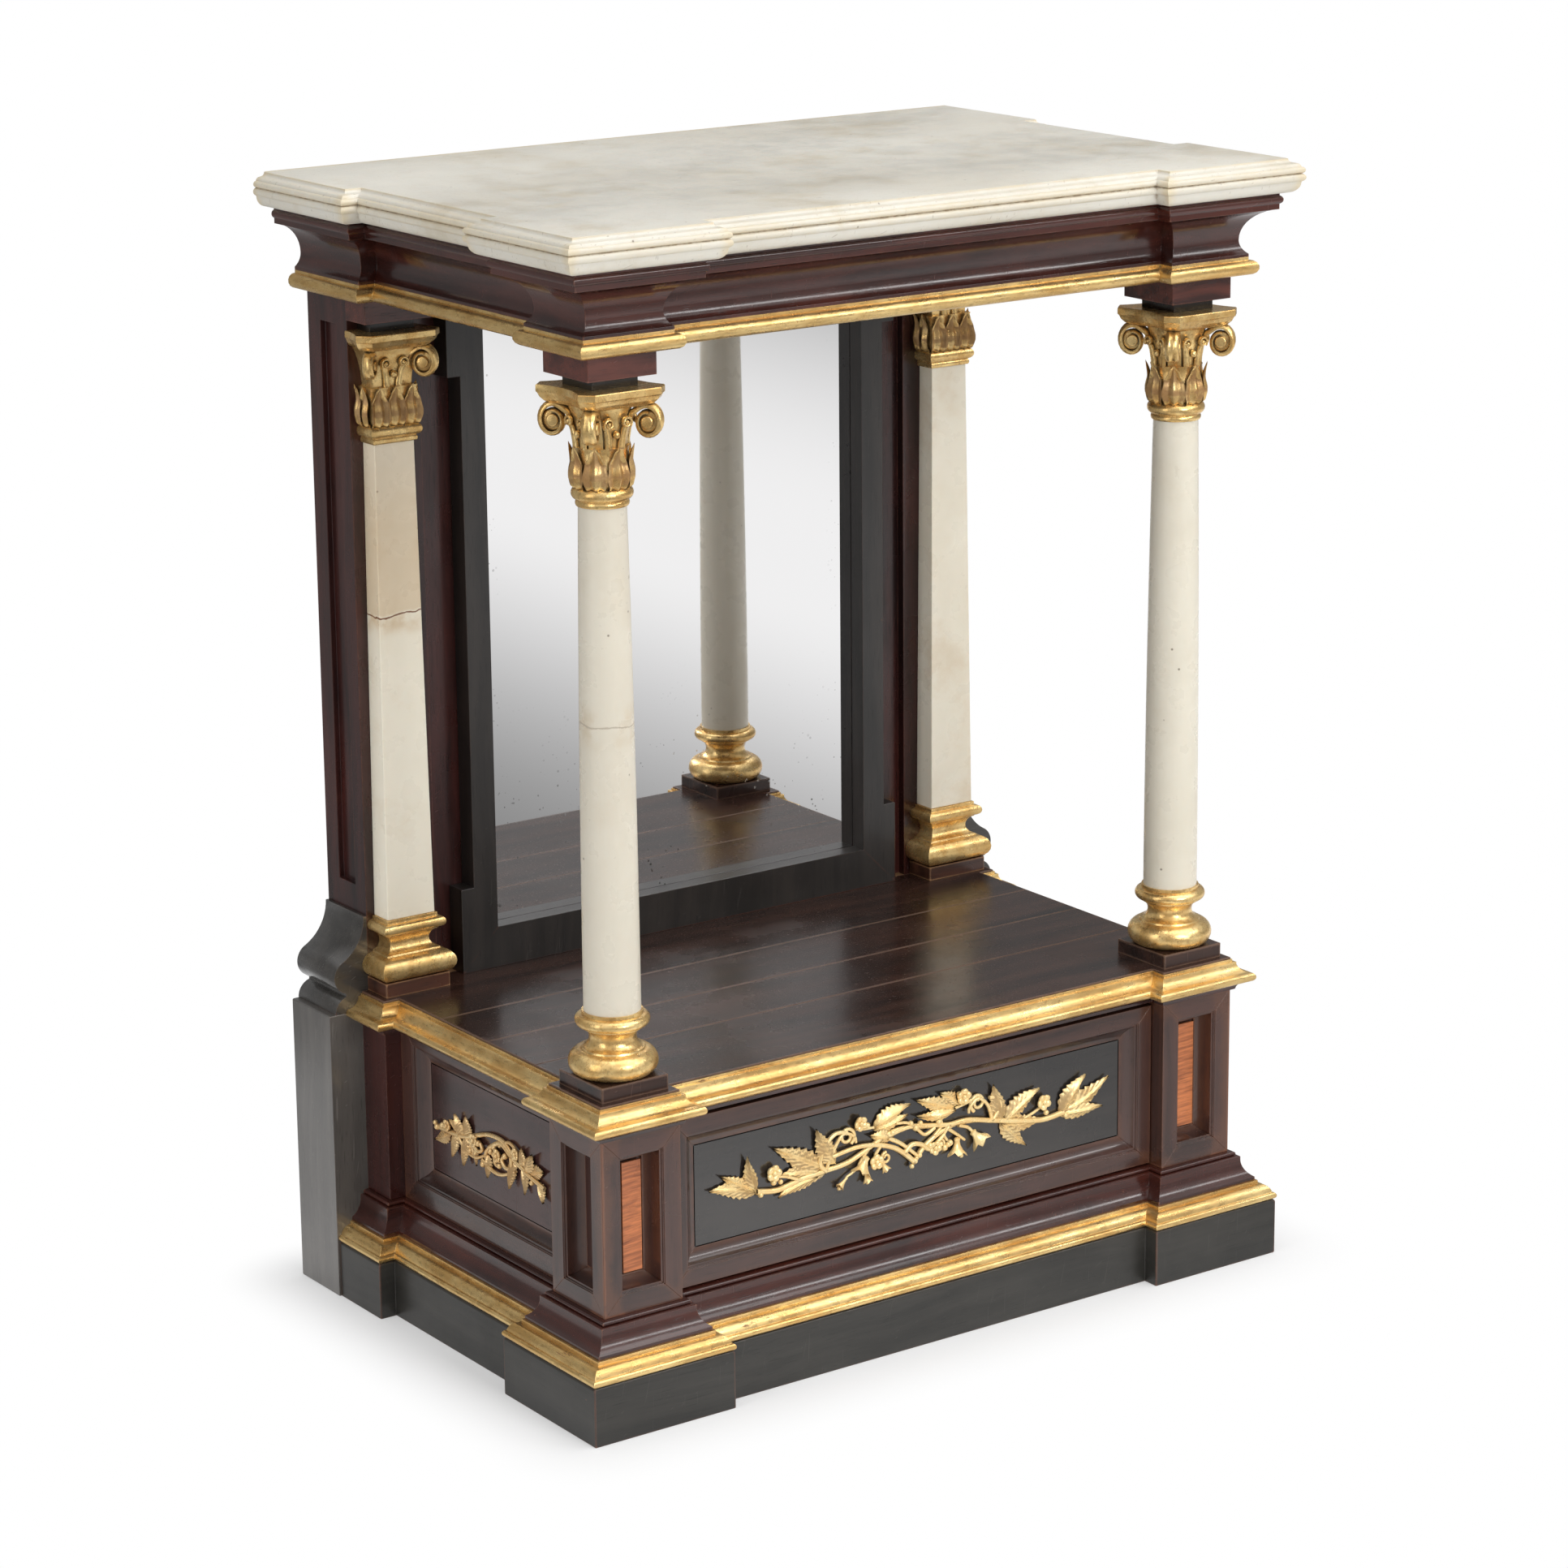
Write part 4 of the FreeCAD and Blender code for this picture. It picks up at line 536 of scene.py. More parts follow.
def upright_board(shape, low, high):
    """A squared board between two corners, with its grain upright."""
    grain = shape.verts.layers.float_vector["grain"]
    low, high = Vector(low), Vector(high)
    middle = Matrix.Translation((low + high) / 2) @ Matrix.Diagonal((*(high - low), 1))
    for corner in bmesh.ops.create_cube(shape, size=1, matrix=middle)["verts"]:
        corner[grain] = Vector((corner.co.z, corner.co.x, corner.co.y)) * MM


def stood(name, data):
    """Puts a mesh, a light or a camera in the scene."""
    made = bpy.data.objects.new(name, data)
    bpy.context.scene.collection.objects.link(made)
    return made


def ease_edges(piece, width):
    """Takes the sharpness off a piece's arrises."""
    bevel = piece.modifiers.new("eased_arrises", "BEVEL")
    bevel.width = width * MM
    bevel.segments = 2
    bevel.limit_method = "ANGLE"
    bevel.angle_limit = radians(38)
    bevel.use_clamp_overlap = True
    bevel.harden_normals = True


def in_order(shape):
    """Sorts a shape's corners, edges and faces by place, so that each run gives the same mesh."""
    def sort(parts, place):
        ranks = {part: rank for rank, part in enumerate(sorted(parts, key=place))}
        parts.sort(key=ranks.get)
        parts.index_update()

    chart, grain = shape.verts.layers.float_vector.values()
    sort(shape.verts, lambda corner: (*corner.co, *corner[chart], *corner[grain]))
    for parts in (shape.edges, shape.faces):
        sort(parts, lambda part: sorted(corner.index for corner in part.verts))


def finish_piece(name, shape, coat, slot, *stands_for, body="carcass", soften=0.0, smooth=32, merge=True):
    """Closes the seams, faces the surface outwards and hands the piece to its body."""
    in_order(shape)
    if merge:
        bmesh.ops.remove_doubles(shape, verts=shape.verts, dist=0.002)
        bmesh.ops.dissolve_degenerate(shape, edges=shape.edges, dist=0.0005)
    bmesh.ops.recalc_face_normals(shape, faces=shape.faces)
    bmesh.ops.scale(shape, vec=(MM, MM, MM), verts=shape.verts)
    in_order(shape)
    mesh = bpy.data.meshes.new(name)
    for face in shape.faces:
        face.smooth = True
    shape.to_mesh(mesh)
    shape.free()
    mesh.set_sharp_from_angle(angle=radians(smooth))
    mesh.materials.append(coats[coat])
    piece = stood(name, mesh)
    if soften:
        ease_edges(piece, soften)
    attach(piece, body)
    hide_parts(*stands_for)


def dress_node(name, coat, soften):
    """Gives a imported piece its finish, and eases its arrises where it is sawn timber or stone."""
    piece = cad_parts[name]
    piece.data.materials.clear()
    piece.data.materials.append(coats[coat])
    if soften:
        piece.modifiers.new("closed_surface", "WELD").merge_threshold = 0.00001
        ease_edges(piece, soften)


# ---- mouldings round the case: name, back end, inner face, foot, section, steps in a curve, finish, slot,
# ---- how far its arrises are eased, what it stands for
MOULDINGS = (
    ("plinth", SLAB_FRONT, 6, 0,
     ((29, 0), ("round", 30, 1), (30, 47.2), ("round", 27.5, BASE_GILT_FOOT)),
     4, "plinth_ebony", "ebonised_wood", 0.6, "plinth_front", "plinth_sides"),
    ("base_gilding", SLAB_FRONT, TUCK, BASE_GILT_FOOT,
     ((28, 50), ("bead", 28, 56, 3), ("round", 19, 63.5), (19, BASE_MOULDING_FOOT)),
     6, "gilt_run", "gilt_wood", 0.25, "base_gilt_moulding"),
    ("base_cavetto", SLAB_FRONT, TUCK, BASE_MOULDING_FOOT,
     ((17, 66.5), (17, 69.5), ("cove", 8, 85), (8, 87.6), (7, 88.2), (3.4, 88.2), ("bead", 3.2, 91.7, 1.7),
      (0, CASE_FOOT)), 8, "mahogany_run", "mahogany", 0.25, "base_moulding"),
    ("shelf_bed", SLAB_FRONT, TUCK, BED_FOOT,
     ((3, 241), ("cove", 12, 248.7), (12, SHELF_GILT_FOOT)),
     6, "mahogany_run", "mahogany", 0.2, "shelf_bed_moulding"),
    ("shelf_gilding", SLAB_FRONT, TUCK, SHELF_GILT_FOOT,
     ((13.8, 249), ("bead", 13.8, 256, 2.2), ("cove", 3.6, 263.6), (3.6, 265.6), (1.1, 265.9), (1.1, SHELF_TOP)),
     6, "gilt_run", "gilt_wood", 0.25, "shelf_gilt_moulding"),
    ("cornice_gilding", CASE_BACK, TUCK, CORNICE_GILT_FOOT,
     ((-6, 863), (-4, 865.5), (1, 865.5), ("bead", 4, 877, 8.2), (4, CORNICE_FOOT)),
     8, "gilt_run", "gilt_wood", 0.25, "cornice_gilt_moulding"),
    ("cornice_cavetto", CASE_BACK, TUCK, CORNICE_FOOT,
     ((4, 879.5), (4, 882), ("cove", -2, 893.5), ("cove", 21.5, 919.5), (21.5, 924), ("bead", 21.5, 931, 2.4),
      (21.5, MARBLE_FOOT)), 10, "mahogany_run", "mahogany", 0.25, "cornice_moulding"),
)
MARBLE_EDGE = (("round", 34, 942), (34.5, 943), ("bead", 34.5, 949.4, 2.4), (34.2, 949.6), ("bead", 34, 955, 2.4),
               ("round", 30.5, 958), (29, 958.4), ("cove", 26, 961.6), (25, TABLE_TOP))


def mouldings():
    for name, back, inner, foot, face, steps, coat, slot, soften, *stands_for in MOULDINGS:
        shape = new_shape()
        sweep(shape, break_front(back), (inner, foot), (*face, (inner, face[-1][-1])), steps)
        finish_piece(name, shape, coat, slot, *stands_for, soften=soften)


def marble_slab():
    """The top: its moulded edge is run round, then the flat faces and the plain back close it."""
    shape = new_shape()
    sweep(shape, break_front(MARBLE_BACK), (27, MARBLE_FOOT), MARBLE_EDGE, closed=False)
    for height in (MARBLE_FOOT, TABLE_TOP):
        ends = [corner for corner in shape.verts
                if abs(corner.co.z - height) < 0.01 and abs(corner.co.y - MARBLE_BACK) < 0.01]
        shape.edges.new(ends)
        rim = [part for part in shape.edges if part.is_boundary or part.is_wire]
        flat = [part for part in rim if all(abs(corner.co.z - height) < 0.01 for corner in part.verts)]
        bmesh.ops.contextual_create(shape, geom=flat)
    bmesh.ops.contextual_create(shape, geom=[part for part in shape.edges if part.is_boundary])
    finish_piece("marble_slab", shape, "marble_top", "marble_top", "marble_top", soften=0.35)




# ---- joinery of the base ----
BOARD, PIER_HEAD = 19, 252  # the thickness of a board and the top of the piers
OTHER_TIMBER = 0.37  # moves the grain on, so that each member looks cut from another board


def flat_on(origin, right, out):
    """A plane to build on: its origin, the way to its right and the way it faces."""
    return Vector(origin), Vector(right), Vector(out)


def on_plane(plane, x, z, lift):
    origin, right, out = plane
    return origin + right * x + Z * z + out * lift


def framed_opening(shape, plane, low, high, sections):
    """Four mitred members round an opening; each section starts at the frame's outer edge."""
    origin, right, out = plane
    corners = [(low[0], low[1]), (high[0], low[1]), (high[0], high[1]), (low[0], high[1])]
    inward = [(1, 1), (-1, 1), (-1, -1), (1, -1)]
    ends = [(origin + right * x + Z * z, right * a + Z * b, out) for (x, z), (a, b) in zip(corners, inward)]
    for number, (start, moves) in enumerate(sections):
        sweep(shape, [ends[number], ends[(number + 1) % 4]], start, moves, shift=number * OTHER_TIMBER)


def panel_member(width, slip, depth, thick, slant=0.0):
    """A flat member with a coved slip that falls to the panel, from its outer edge inwards."""
    inner = width + slip
    return ((slant, -thick), [(inner, -thick), (inner, -depth), (inner - 1.2, -depth),
                              ("cove", width + 2.6, -2.4), (width + 0.9, -2.2), (width + 0.9, -1.0),
                              (width, -0.9), (width, 0), (0, 0)])


def front_piers():
    """Boxed piers with mitred facings and deep coved fields on the front and the outer side."""
    half_width, half_depth = (PIER_OUT - PIER_IN) / 2, (PIER_BACK - CASE_FRONT) / 2
    plain = panel_member(width=16.5, slip=10, depth=17, thick=BOARD)
    slanted = panel_member(width=16.5, slip=10, depth=17, thick=BOARD, slant=BOARD)
    right_mitred, left_mitred = [plain, slanted, plain, plain], [plain, plain, plain, slanted]
    for name, side in SIDES:
        shape = new_shape()
        outer, inner = side * PIER_OUT, side * PIER_IN
        front = flat_on((side * COLUMN_X, CASE_FRONT, 0), X, -Y)
        framed_opening(shape, front, (-half_width, CASE_FOOT), (half_width, BED_FOOT),
                       right_mitred if side > 0 else left_mitred)
        flank = flat_on((outer, COLUMN_Y, 0), Y, side * X)
        framed_opening(shape, flank, (-half_depth, CASE_FOOT), (half_depth, BED_FOOT), left_mitred)
        face = outer - side * BOARD
        upright_board(shape, (min(inner, face), CASE_FRONT + BOARD, CASE_FOOT),
                      (max(inner, face), PIER_BACK, BED_FOOT))
        upright_board(shape, (min(inner, outer) + 0.5, CASE_FRONT + 0.5, BED_FOOT + 0.1),
                      (max(inner, outer) - 0.5, PIER_BACK - 0.5, PIER_HEAD))
        finish_piece("pier_" + name, shape, "case_mahogany", "mahogany", "front_pier_" + name,
                     soften=0.3, merge=False)


def side_frames():
    """The mitred frames between the front and the rear piers."""
    member = panel_member(width=18.5, slip=15, depth=10, thick=18)
    for name, side in SIDES:
        shape = new_shape()
        plane = flat_on((side * RECESS_SIDE, 0, 0), Y, side * X)
        framed_opening(shape, plane, (PIER_BACK + 0.1, CASE_FOOT), (REAR_PIER_FRONT - 0.1, PIER_HEAD), [member] * 4)
        finish_piece("side_framing_" + name, shape, "case_mahogany", "mahogany", "side_frame_" + name,
                     soften=0.3, merge=False)


def drawer_framing():
    """The drawer's mitred front frame; it slides with the drawer."""
    member = panel_member(width=14, slip=15, depth=10, thick=18)
    shape = new_shape()
    plane = flat_on((0, RECESS_FRONT, 0), X, -Y)
    low, high = (1 - PIER_IN, CASE_FOOT + 1.5), (PIER_IN - 1, BED_FOOT - 4)  # clear of the case all round
    framed_opening(shape, plane, low, high, [member] * 4)
    finish_piece("drawer_framing", shape, "case_mahogany", "mahogany", "drawer_front", body="drawer",
                 soften=0.3, merge=False)


# ---- columns ----
BASE_SECTION = [(28, COLUMN_BASE_FOOT), ("bead", 27.2, 302.6, 8.6), (26.2, 302.8), (25.6, 304.2),
                ("cove", 19.0, 312.0), ("cove", 24.0, 320.4), (24.8, 320.6), (25.0, 321.8),
                ("bead", 25.0, 331.4, 5.2), (24.6, 331.6), (24.6, SHAFT_FOOT), (0, SHAFT_FOOT)]
SHAFT_SECTION = [(23, SHAFT_FOOT), ("bead", 19, CAPITAL_FOOT, 0.9), (0, CAPITAL_FOOT)]


def columns():
    """Turned bases and marble shafts; the shafts swell a little as they taper."""
    for name, side in SIDES:
        x = side * COLUMN_X
        shape = new_shape()
        turn_up(shape, x, COLUMN_Y, (0, COLUMN_BASE_FOOT), BASE_SECTION, steps=10)
        finish_piece("column_base_gilding_" + name, shape, "gilt_wood", "gilt_wood", "column_base_" + name)
        shape = new_shape()
        turn_up(shape, x, COLUMN_Y, (0, SHAFT_FOOT), SHAFT_SECTION, steps=16)
        finish_piece("shaft_" + name, shape, "shaft_marble_" + name, "column_marble", "column_shaft_" + name)


def pilasters():
    """The columns' bases and shafts again, squared up against the rear posts."""
    shape = new_shape()
    for _, side in SIDES:
        sweep(shape, half_square(side * COLUMN_X), (0, COLUMN_BASE_FOOT), BASE_SECTION, 8)
    finish_piece("pilaster_base_gilding", shape, "gilt_wood", "gilt_wood", "pilaster_bases", soften=0.3)
    shape = new_shape()
    straight = [(23, SHAFT_FOOT), (19, CAPITAL_FOOT), (0, CAPITAL_FOOT)]
    for _, side in SIDES:
        sweep(shape, half_square(side * COLUMN_X), (0, SHAFT_FOOT), straight, 2)
    finish_piece("pilaster_marble", shape, "pilaster_marble", "column_marble", "pilaster_shafts", soften=0.8)


# ---- carved capitals ----
def along_curve(points, height):
    """The reach of a profile at a height, between the points that are given."""
    for (reach_a, low), (reach_b, high) in zip(points, points[1:]):
        if height <= high:
            share = max(0.0, (height - low) / (high - low))
            share = share * share * (3 - 2 * share)
            return reach_a + (reach_b - reach_a) * share
    return points[-1][0]


LEAF_FOOT, LEAF_LENGTH = 758.5, 32.5
CUP = ((20.8, 758), (23.4, 761.5), (24.6, 768), (22.2, 780), (22.8, 791))
BELL = ((18.6, 790), (19.4, 800), (21.6, 811), (27.0, BELL_TOP))
LEAF_PLAN = ((0.80, 0.0), (1.0, 0.26), (0.88, 0.55), (0.48, 0.82), (0.03, 1.0))


def sheet(shape, x_segments, y_segments, thickness, lay):
    """A thin sheet; lay(side, up) gives the place of each of its points."""
    made = bmesh.ops.create_grid(shape, x_segments=x_segments, y_segments=y_segments, size=1)["verts"]
    for corner in made:
        corner.co = lay(corner.co.x, (corner.co.y + 1) / 2)
    faces = list(dict.fromkeys(face for corner in made for face in corner.link_faces))
    bmesh.ops.solidify(shape, geom=faces, thickness=thickness)


def headings(path):
    """Each point of a flat path, with the way the path runs there."""
    for before, point, after in zip([path[0], *path], path, [*path[1:], path[-1]]):
        yield point, (Vector(after[:2]) - Vector(before[:2])).normalized()


def strap(shape, stations, half_width, thick):
    """A carved band with two rolled edges and a hollow between them."""
    rim = half_width * 0.22
    edge = half_width * 0.45
    moves = [(half_width, 0), ("bead", edge, thick, rim), ("bead", -edge, thick, -rim * 0.6),
             ("bead", -half_width, 0, rim)]
    band = new_shape()
    sweep(band, stations, (-half_width, 0), moves, 4)
    add_part(shape, band)


def ball(shape, place, wide, deep, high):
    """A rounded boss, stretched along its own three ways."""
    stretch = Matrix.Diagonal((wide, deep, high, 1))
    boss = new_shape()
    bmesh.ops.create_uvsphere(boss, u_segments=16, v_segments=10, radius=1, matrix=place @ stretch)
    add_part(shape, boss)


def disc(shape, place, radius, depth):
    """A flat round eye with an eased rim, standing on its ground."""
    eye = new_shape()
    bmesh.ops.create_cone(eye, cap_ends=True, segments=28, radius1=radius, radius2=radius, depth=depth,
                          matrix=place)
    rims = [edge for edge in eye.edges if max(len(face.verts) for face in edge.link_faces) > 4]
    bmesh.ops.bevel(eye, geom=rims, offset=radius * 0.26, offset_type="OFFSET", segments=3, profile=0.5,
                    affect="EDGES", material=-1)
    add_part(shape, eye)


def scroll(shape, way, eye_reach=37.0, eye_height=808.0, radius=9.9, half_width=5.6):
    """A free-standing corner scroll: it rises off the bell, rolls outwards and curls in to its eye."""
    sideways = Vector((-way.y, way.x, 0))
    stem_top = (eye_reach - 10.5, eye_height + 5.2)
    points = [(19.6, 788, 0.8), (20.2, 796, 0.85), ((21 + stem_top[0]) / 2 - 1.6, 804, 0.95), (*stem_top, 1.0)]
    steps = 26
    for number in range(steps + 1):
        share = number / steps
        angle = radians(122) - share * 1.12 * 2 * pi
        size = radius * (1 - 0.44 * share ** 1.3)
        rolled = eye_reach + 0.90 * size * cos(angle), eye_height + 1.12 * size * sin(angle)
        points.append((*rolled, 1 - 0.45 * share))
    stations = [(way * reach + Z * height, sideways, (way * -ahead.y + Z * ahead.x) * size)
                for (reach, height, size), ahead in headings(points)]
    strap(shape, stations, half_width, 4.8)
    place = placed(way * eye_reach + Z * eye_height, way, Z, sideways)
    disc(shape, place, radius * 0.50, 2 * half_width + 1.6)
    disc(shape, place, radius * 0.94, half_width)


def abacus(shape):
    """The hollow-sided slab on the capital, rounded under, with cut corners."""
    half, cut, hollow = 39.6, 9.5, 7
    low, high = -half + cut, half - cut
    outline = [(half, low), ("bead", half, high, -hollow), (high, half), ("bead", low, half, -hollow),
               (-half, high), ("bead", -half, low, -hollow), (low, -half)]
    levels = [(820.6, 0.66), (821.4, 0.76), (823.4, 0.87), (826.4, 0.94), (829.6, 0.975), (830.6, 1.0),
              (835.2, 1.0), (CAPITAL_TOP, 0.985)]
    stations = [(Z * height, X * size, Y * size) for height, size in levels]
    sweep(shape, stations, (high, -half), outline, 10)


def bell_face(shape, face):
    """What one side of the bell carries: two rising bands that end in discs, with bosses between."""
    across = Vector((-face.y, face.x, 0))
    for hand in (-1, 1):
        heart = across * hand * 8.2 + Z * 809.0
        rising = []
        for step in range(9):
            share = step / 8
            height = 788 + 18 * share
            reach = along_curve(BELL, height) + 0.4
            lean = across * hand * (5.6 + 3.0 * share * share)
            rising.append((face * reach + lean + Z * height, across * (1.1 - 0.2 * share), face))
        strap(shape, rising, 3.0, 2.4)
        curl = []
        for step in range(17):
            share = step / 16
            angle = radians(-40) + share * 1.15 * 2 * pi
            size = 4.4 * (1 - 0.55 * share)
            middle = face * (22.6 + 0.8 * share) + heart
            spoke = across * hand * cos(angle) + Z * sin(angle)
            curl.append((middle + spoke * size, spoke * (1 - 0.35 * share), face * (1 - 0.2 * share)))
        strap(shape, curl, 1.5, 2.6)
        ball(shape, placed(face * 23.4 + heart, across, face, Z), 1.9, 2.6, 2.0)
    ball(shape, placed(face * 21.4 + Z * 799.5, across, face, Z), 3.0, 3.0, 3.2)


def cup_leaves(shape, ways, half_width, ground):
    """Pointed leaves with a raised rib and rim; ground(way, across, reach, height) is what they lie on."""
    for way in ways:

        def lay(side, up, way=way):
            fold = 1.35 * cos(2 * pi * side) * min(1.0, 3 * (1.02 - up)) + 2.6 * up ** 4
            height = LEAF_FOOT + LEAF_LENGTH * up
            across = side * half_width * along_curve(LEAF_PLAN, up)
            return ground(way, across, along_curve(CUP, height) + 0.5 + fold, height)

        sheet(shape, 12, 16, 2.0, lay)


CAPITAL_CORE = [(20.4, CAPITAL_FOOT), ("bead", 20.4, 746.5, 0.8), (20.6, 747), ("bead", 20.8, 757, 3.7),
                (20.0, 757.6), ("bead", 22.2, 770, 1.6), ("cove", 21.2, 786), (22.0, 789),
                (18.4, 789.5), ("cove", 27, BELL_TOP), (0, BELL_TOP)]


def column_capital(name, side):
    """A turned bell with eight leaves, four corner scrolls and a hollow-sided abacus."""
    shape = new_shape()
    turn_up(shape, 0, 0, (0, CAPITAL_FOOT), CAPITAL_CORE, steps=8, sides=48)

    def round_cup(turn, across, reach, height):
        angle = turn + across / 24
        return Vector((reach * cos(angle), reach * sin(angle), height))

    cup_leaves(shape, [radians(45 * number) for number in range(8)], 9.5, round_cup)
    for number in range(4):
        turn = radians(45 + 90 * number)
        scroll(shape, Vector((cos(turn), sin(turn), 0)))
        bell_face(shape, Vector((cos(turn + pi / 4), sin(turn + pi / 4), 0)))
    abacus(shape)
    bmesh.ops.translate(shape, vec=(side * COLUMN_X, COLUMN_Y, 0), verts=shape.verts)
    finish_piece("capital_" + name, shape, "gilt_carving", "gilt_wood", "column_capital_" + name, soften=0.25)


def pilaster_capital(name, side):
    """The column's capital squared up; what would stand behind the face of the rear post is cut away."""
    shape = new_shape()
    sweep(shape, half_square(0, 0), (0, CAPITAL_FOOT), CAPITAL_CORE, 8)

    def flat_cup(way, across, reach, height):
        out, right, offset = way
        return right * (offset + across) + out * reach + Z * height

    ways = [(-Y, X, offset) for offset in (-15.5, 0, 15.5)]
    ways += [(out, Y, offset) for out in (X, -X) for offset in (-13, -1)]
    cup_leaves(shape, ways, 9.0, flat_cup)
    bell_face(shape, -Y)
    for hand in (-1, 1):
        corner = Vector((hand, -1, 0)).normalized()
        if hand == -side:
            scroll(shape, corner)
        else:
            scroll(shape, corner, eye_reach=33.0, eye_height=808.6, radius=8.0, half_width=4.6)
    abacus(shape)
    in_order(shape)
    everything = shape.verts[:] + shape.edges[:] + shape.faces[:]
    bmesh.ops.bisect_plane(shape, geom=everything, dist=0.001, plane_co=(0, 0, 0), plane_no=Y, clear_outer=True)
    bmesh.ops.holes_fill(shape, edges=[edge for edge in shape.edges if edge.is_boundary])
    bmesh.ops.translate(shape, vec=(side * COLUMN_X, SLAB_FRONT, 0), verts=shape.verts)
    finish_piece("pilaster_carving_" + name, shape, "gilt_carving", "gilt_wood", "pilaster_capital_" + name,
                 soften=0.25)


# ---- gilt-metal mounts ----
TEETH, PETALS = 8, 5  # along each edge of a leaf, and of every flower


def serrated_leaf(shape, plane, root, tip, width, rise, bend):
    """A cast leaf with saw teeth, a raised midrib and lifted tip, arched off the panel."""
    root, tip = Vector(root), Vector(tip)
    ahead = tip - root
    length = ahead.length
    ahead.normalize()
    across = Vector((-ahead.y, ahead.x))

    def lay(side, up):
        body = sin(pi * up ** 0.62) ** 1.05
        tooth = 1 + 0.40 * (0.45 - (up * TEETH) % 1.0) * abs(side) ** 3
        wide = width / 2 * 0.94 * body * tooth + 0.25 * (1 - up)
        sway = bend * length * sin(pi * up) + side * wide
        flat = root + ahead * (up * length + 0.05 * length * abs(side) * body) + across * sway
        rib = 1.4 * exp(-(side / 0.14) ** 2) * (1 - 0.6 * up)
        vein = 0.80 * cos(2 * pi * (up * TEETH - abs(side) * 1.6)) * abs(side) * (1 - 0.5 * abs(side))
        arch = rise * (0.30 + 0.70 * cos(side * 1.35)) * (0.55 + 0.45 * sin(pi * up))
        return on_plane(plane, *flat, arch + rib + vein + 2.0 * up ** 3)

    sheet(shape, 8, 31, 1.1, lay)


ROUND = [("round", 1, 0), ("round", 0, 1), ("round", -1, 0), ("round", -0.02, -1)]


def cast_stem(shape, plane, points, thickness, lift):
    """A round stem that swings through its points and thins towards its end."""
    right, out = plane[1:]
    path = []
    ends = [Vector(point) for point in (points[0], *points, points[-1])]
    for a, b, c, d in zip(ends, ends[1:], ends[2:], ends[3:]):
        for step in range(6):
            t = step / 6
            path.append(0.5 * (2 * b + (c - a) * t + (2 * a - 5 * b + 4 * c - d) * t * t
                               + (3 * b - a - 3 * c + d) * t ** 3))
    path.append(ends[-1])
    stations = []
    for number, (point, ahead) in enumerate(headings(path)):
        size = thickness * (1.20 - 0.32 * number / (len(path) - 1))
        side = right * -ahead.y + Z * ahead.x
        stations.append((on_plane(plane, *point, lift), side * size, out * size))
    stem = new_shape()
    sweep(stem, stations, (0, -1), ROUND, 3)
    add_part(shape, stem)


def blossom(shape, plane, x, z, radius, turn):
    """A small open flower: five cupped petals round a boss."""
    right, out = plane[1:]
    middle = on_plane(plane, x, z, 4.0)
    for number in range(PETALS):
        angle = turn + number * 2 * pi / PETALS
        ahead = right * cos(angle) + Z * sin(angle)
        across = out.cross(ahead)
        petal = placed(middle + ahead * radius * 0.52, ahead, across, out) @ Matrix.Rotation(-0.55, 4, "Y")
        ball(shape, petal, radius * 0.54, radius * 0.50, radius * 0.30)
    ball(shape, Matrix.Translation(middle + out * 1.0), radius * 0.34, radius * 0.34, radius * 0.34)


def bell_flower(shape, plane, root, mouth, radius):
    """A small trumpet flower: a flared tube with a rolled lip, hanging from its calyx."""
    begin, end = on_plane(plane, *root, 3.0), on_plane(plane, *mouth, 4.4)
    ahead = (end - begin).normalized()
    side = ahead.cross(plane[2]).normalized()
    upward = side.cross(ahead).normalized()
    sizes = ((0.0, 0.22), (0.10, 0.50), (0.26, 0.40), (0.48, 0.52), (0.70, 0.78), (0.88, 1.10), (1.0, 1.36),
             (0.97, 1.10), (0.8, 0.6), (0.5, 0.3))
    stations = [(begin + (end - begin) * share, side * (radius * size), upward * (radius * size * 0.72))
                for share, size in sizes]
    trumpet = new_shape()
    for corner in sweep(trumpet, stations, (0, -1), ROUND, 4):
        reach = (corner.co - begin).dot(ahead)
        off = corner.co - begin - ahead * reach
        angle = atan2(off.dot(upward), off.dot(side))
        flare = max(0.0, reach / (end - begin).length) ** 3
        corner.co += (off * 0.20 + ahead * radius * 0.30) * cos(PETALS * angle) * flare
    add_part(shape, trumpet)


def tendril(shape, plane, centre, radius, start_turn, turns, thickness):
    """A thin stem that curls in to its centre."""
    points = []
    for number in range(int(12 * abs(turns)) + 1):
        share = number / (12 * abs(turns))
        angle = radians(start_turn) + turns * 2 * pi * share
        size = radius * (1 - 0.72 * share)
        points.append((centre[0] + size * cos(angle), centre[1] + size * sin(angle)))
    cast_stem(shape, plane, points, thickness, lift=2.6)




# where the mounts lie: the faces of the panels, and the middle of the side panels and of all three mounts
DRAWER_PANEL_FACE, SIDE_PANEL_FACE, SIDE_MIDDLE, MOUNT_HEIGHT = -177, 300, 3, 169


def vine_spray(shape, plane, stems, leaves, buds, blossoms):
    """Cast foliage on a panel, in points across and up it; neighbours stand off it by different amounts.

    A stem is its thickness and its points; a leaf its root, tip and width; a bud or blossom its middle and radius.
    """
    for number, (thickness, *swing) in enumerate(stems):
        cast_stem(shape, plane, list(zip(swing[::2], swing[1::2])), thickness, lift=2.2 + 0.7 * (number % 3))
    for number, (*ends, width) in enumerate(leaves):
        serrated_leaf(shape, plane, ends[:2], ends[2:], width, 3.0 + 1.2 * (number % 3), 0.05 * (number % 3 - 1))
    for x, z, radius in buds:
        ball(shape, Matrix.Translation(on_plane(plane, x, z, 3.6)), radius, radius, radius)
    for number, (x, z, radius) in enumerate(blossoms):
        blossom(shape, plane, x, z, radius, turn=0.7 * number)


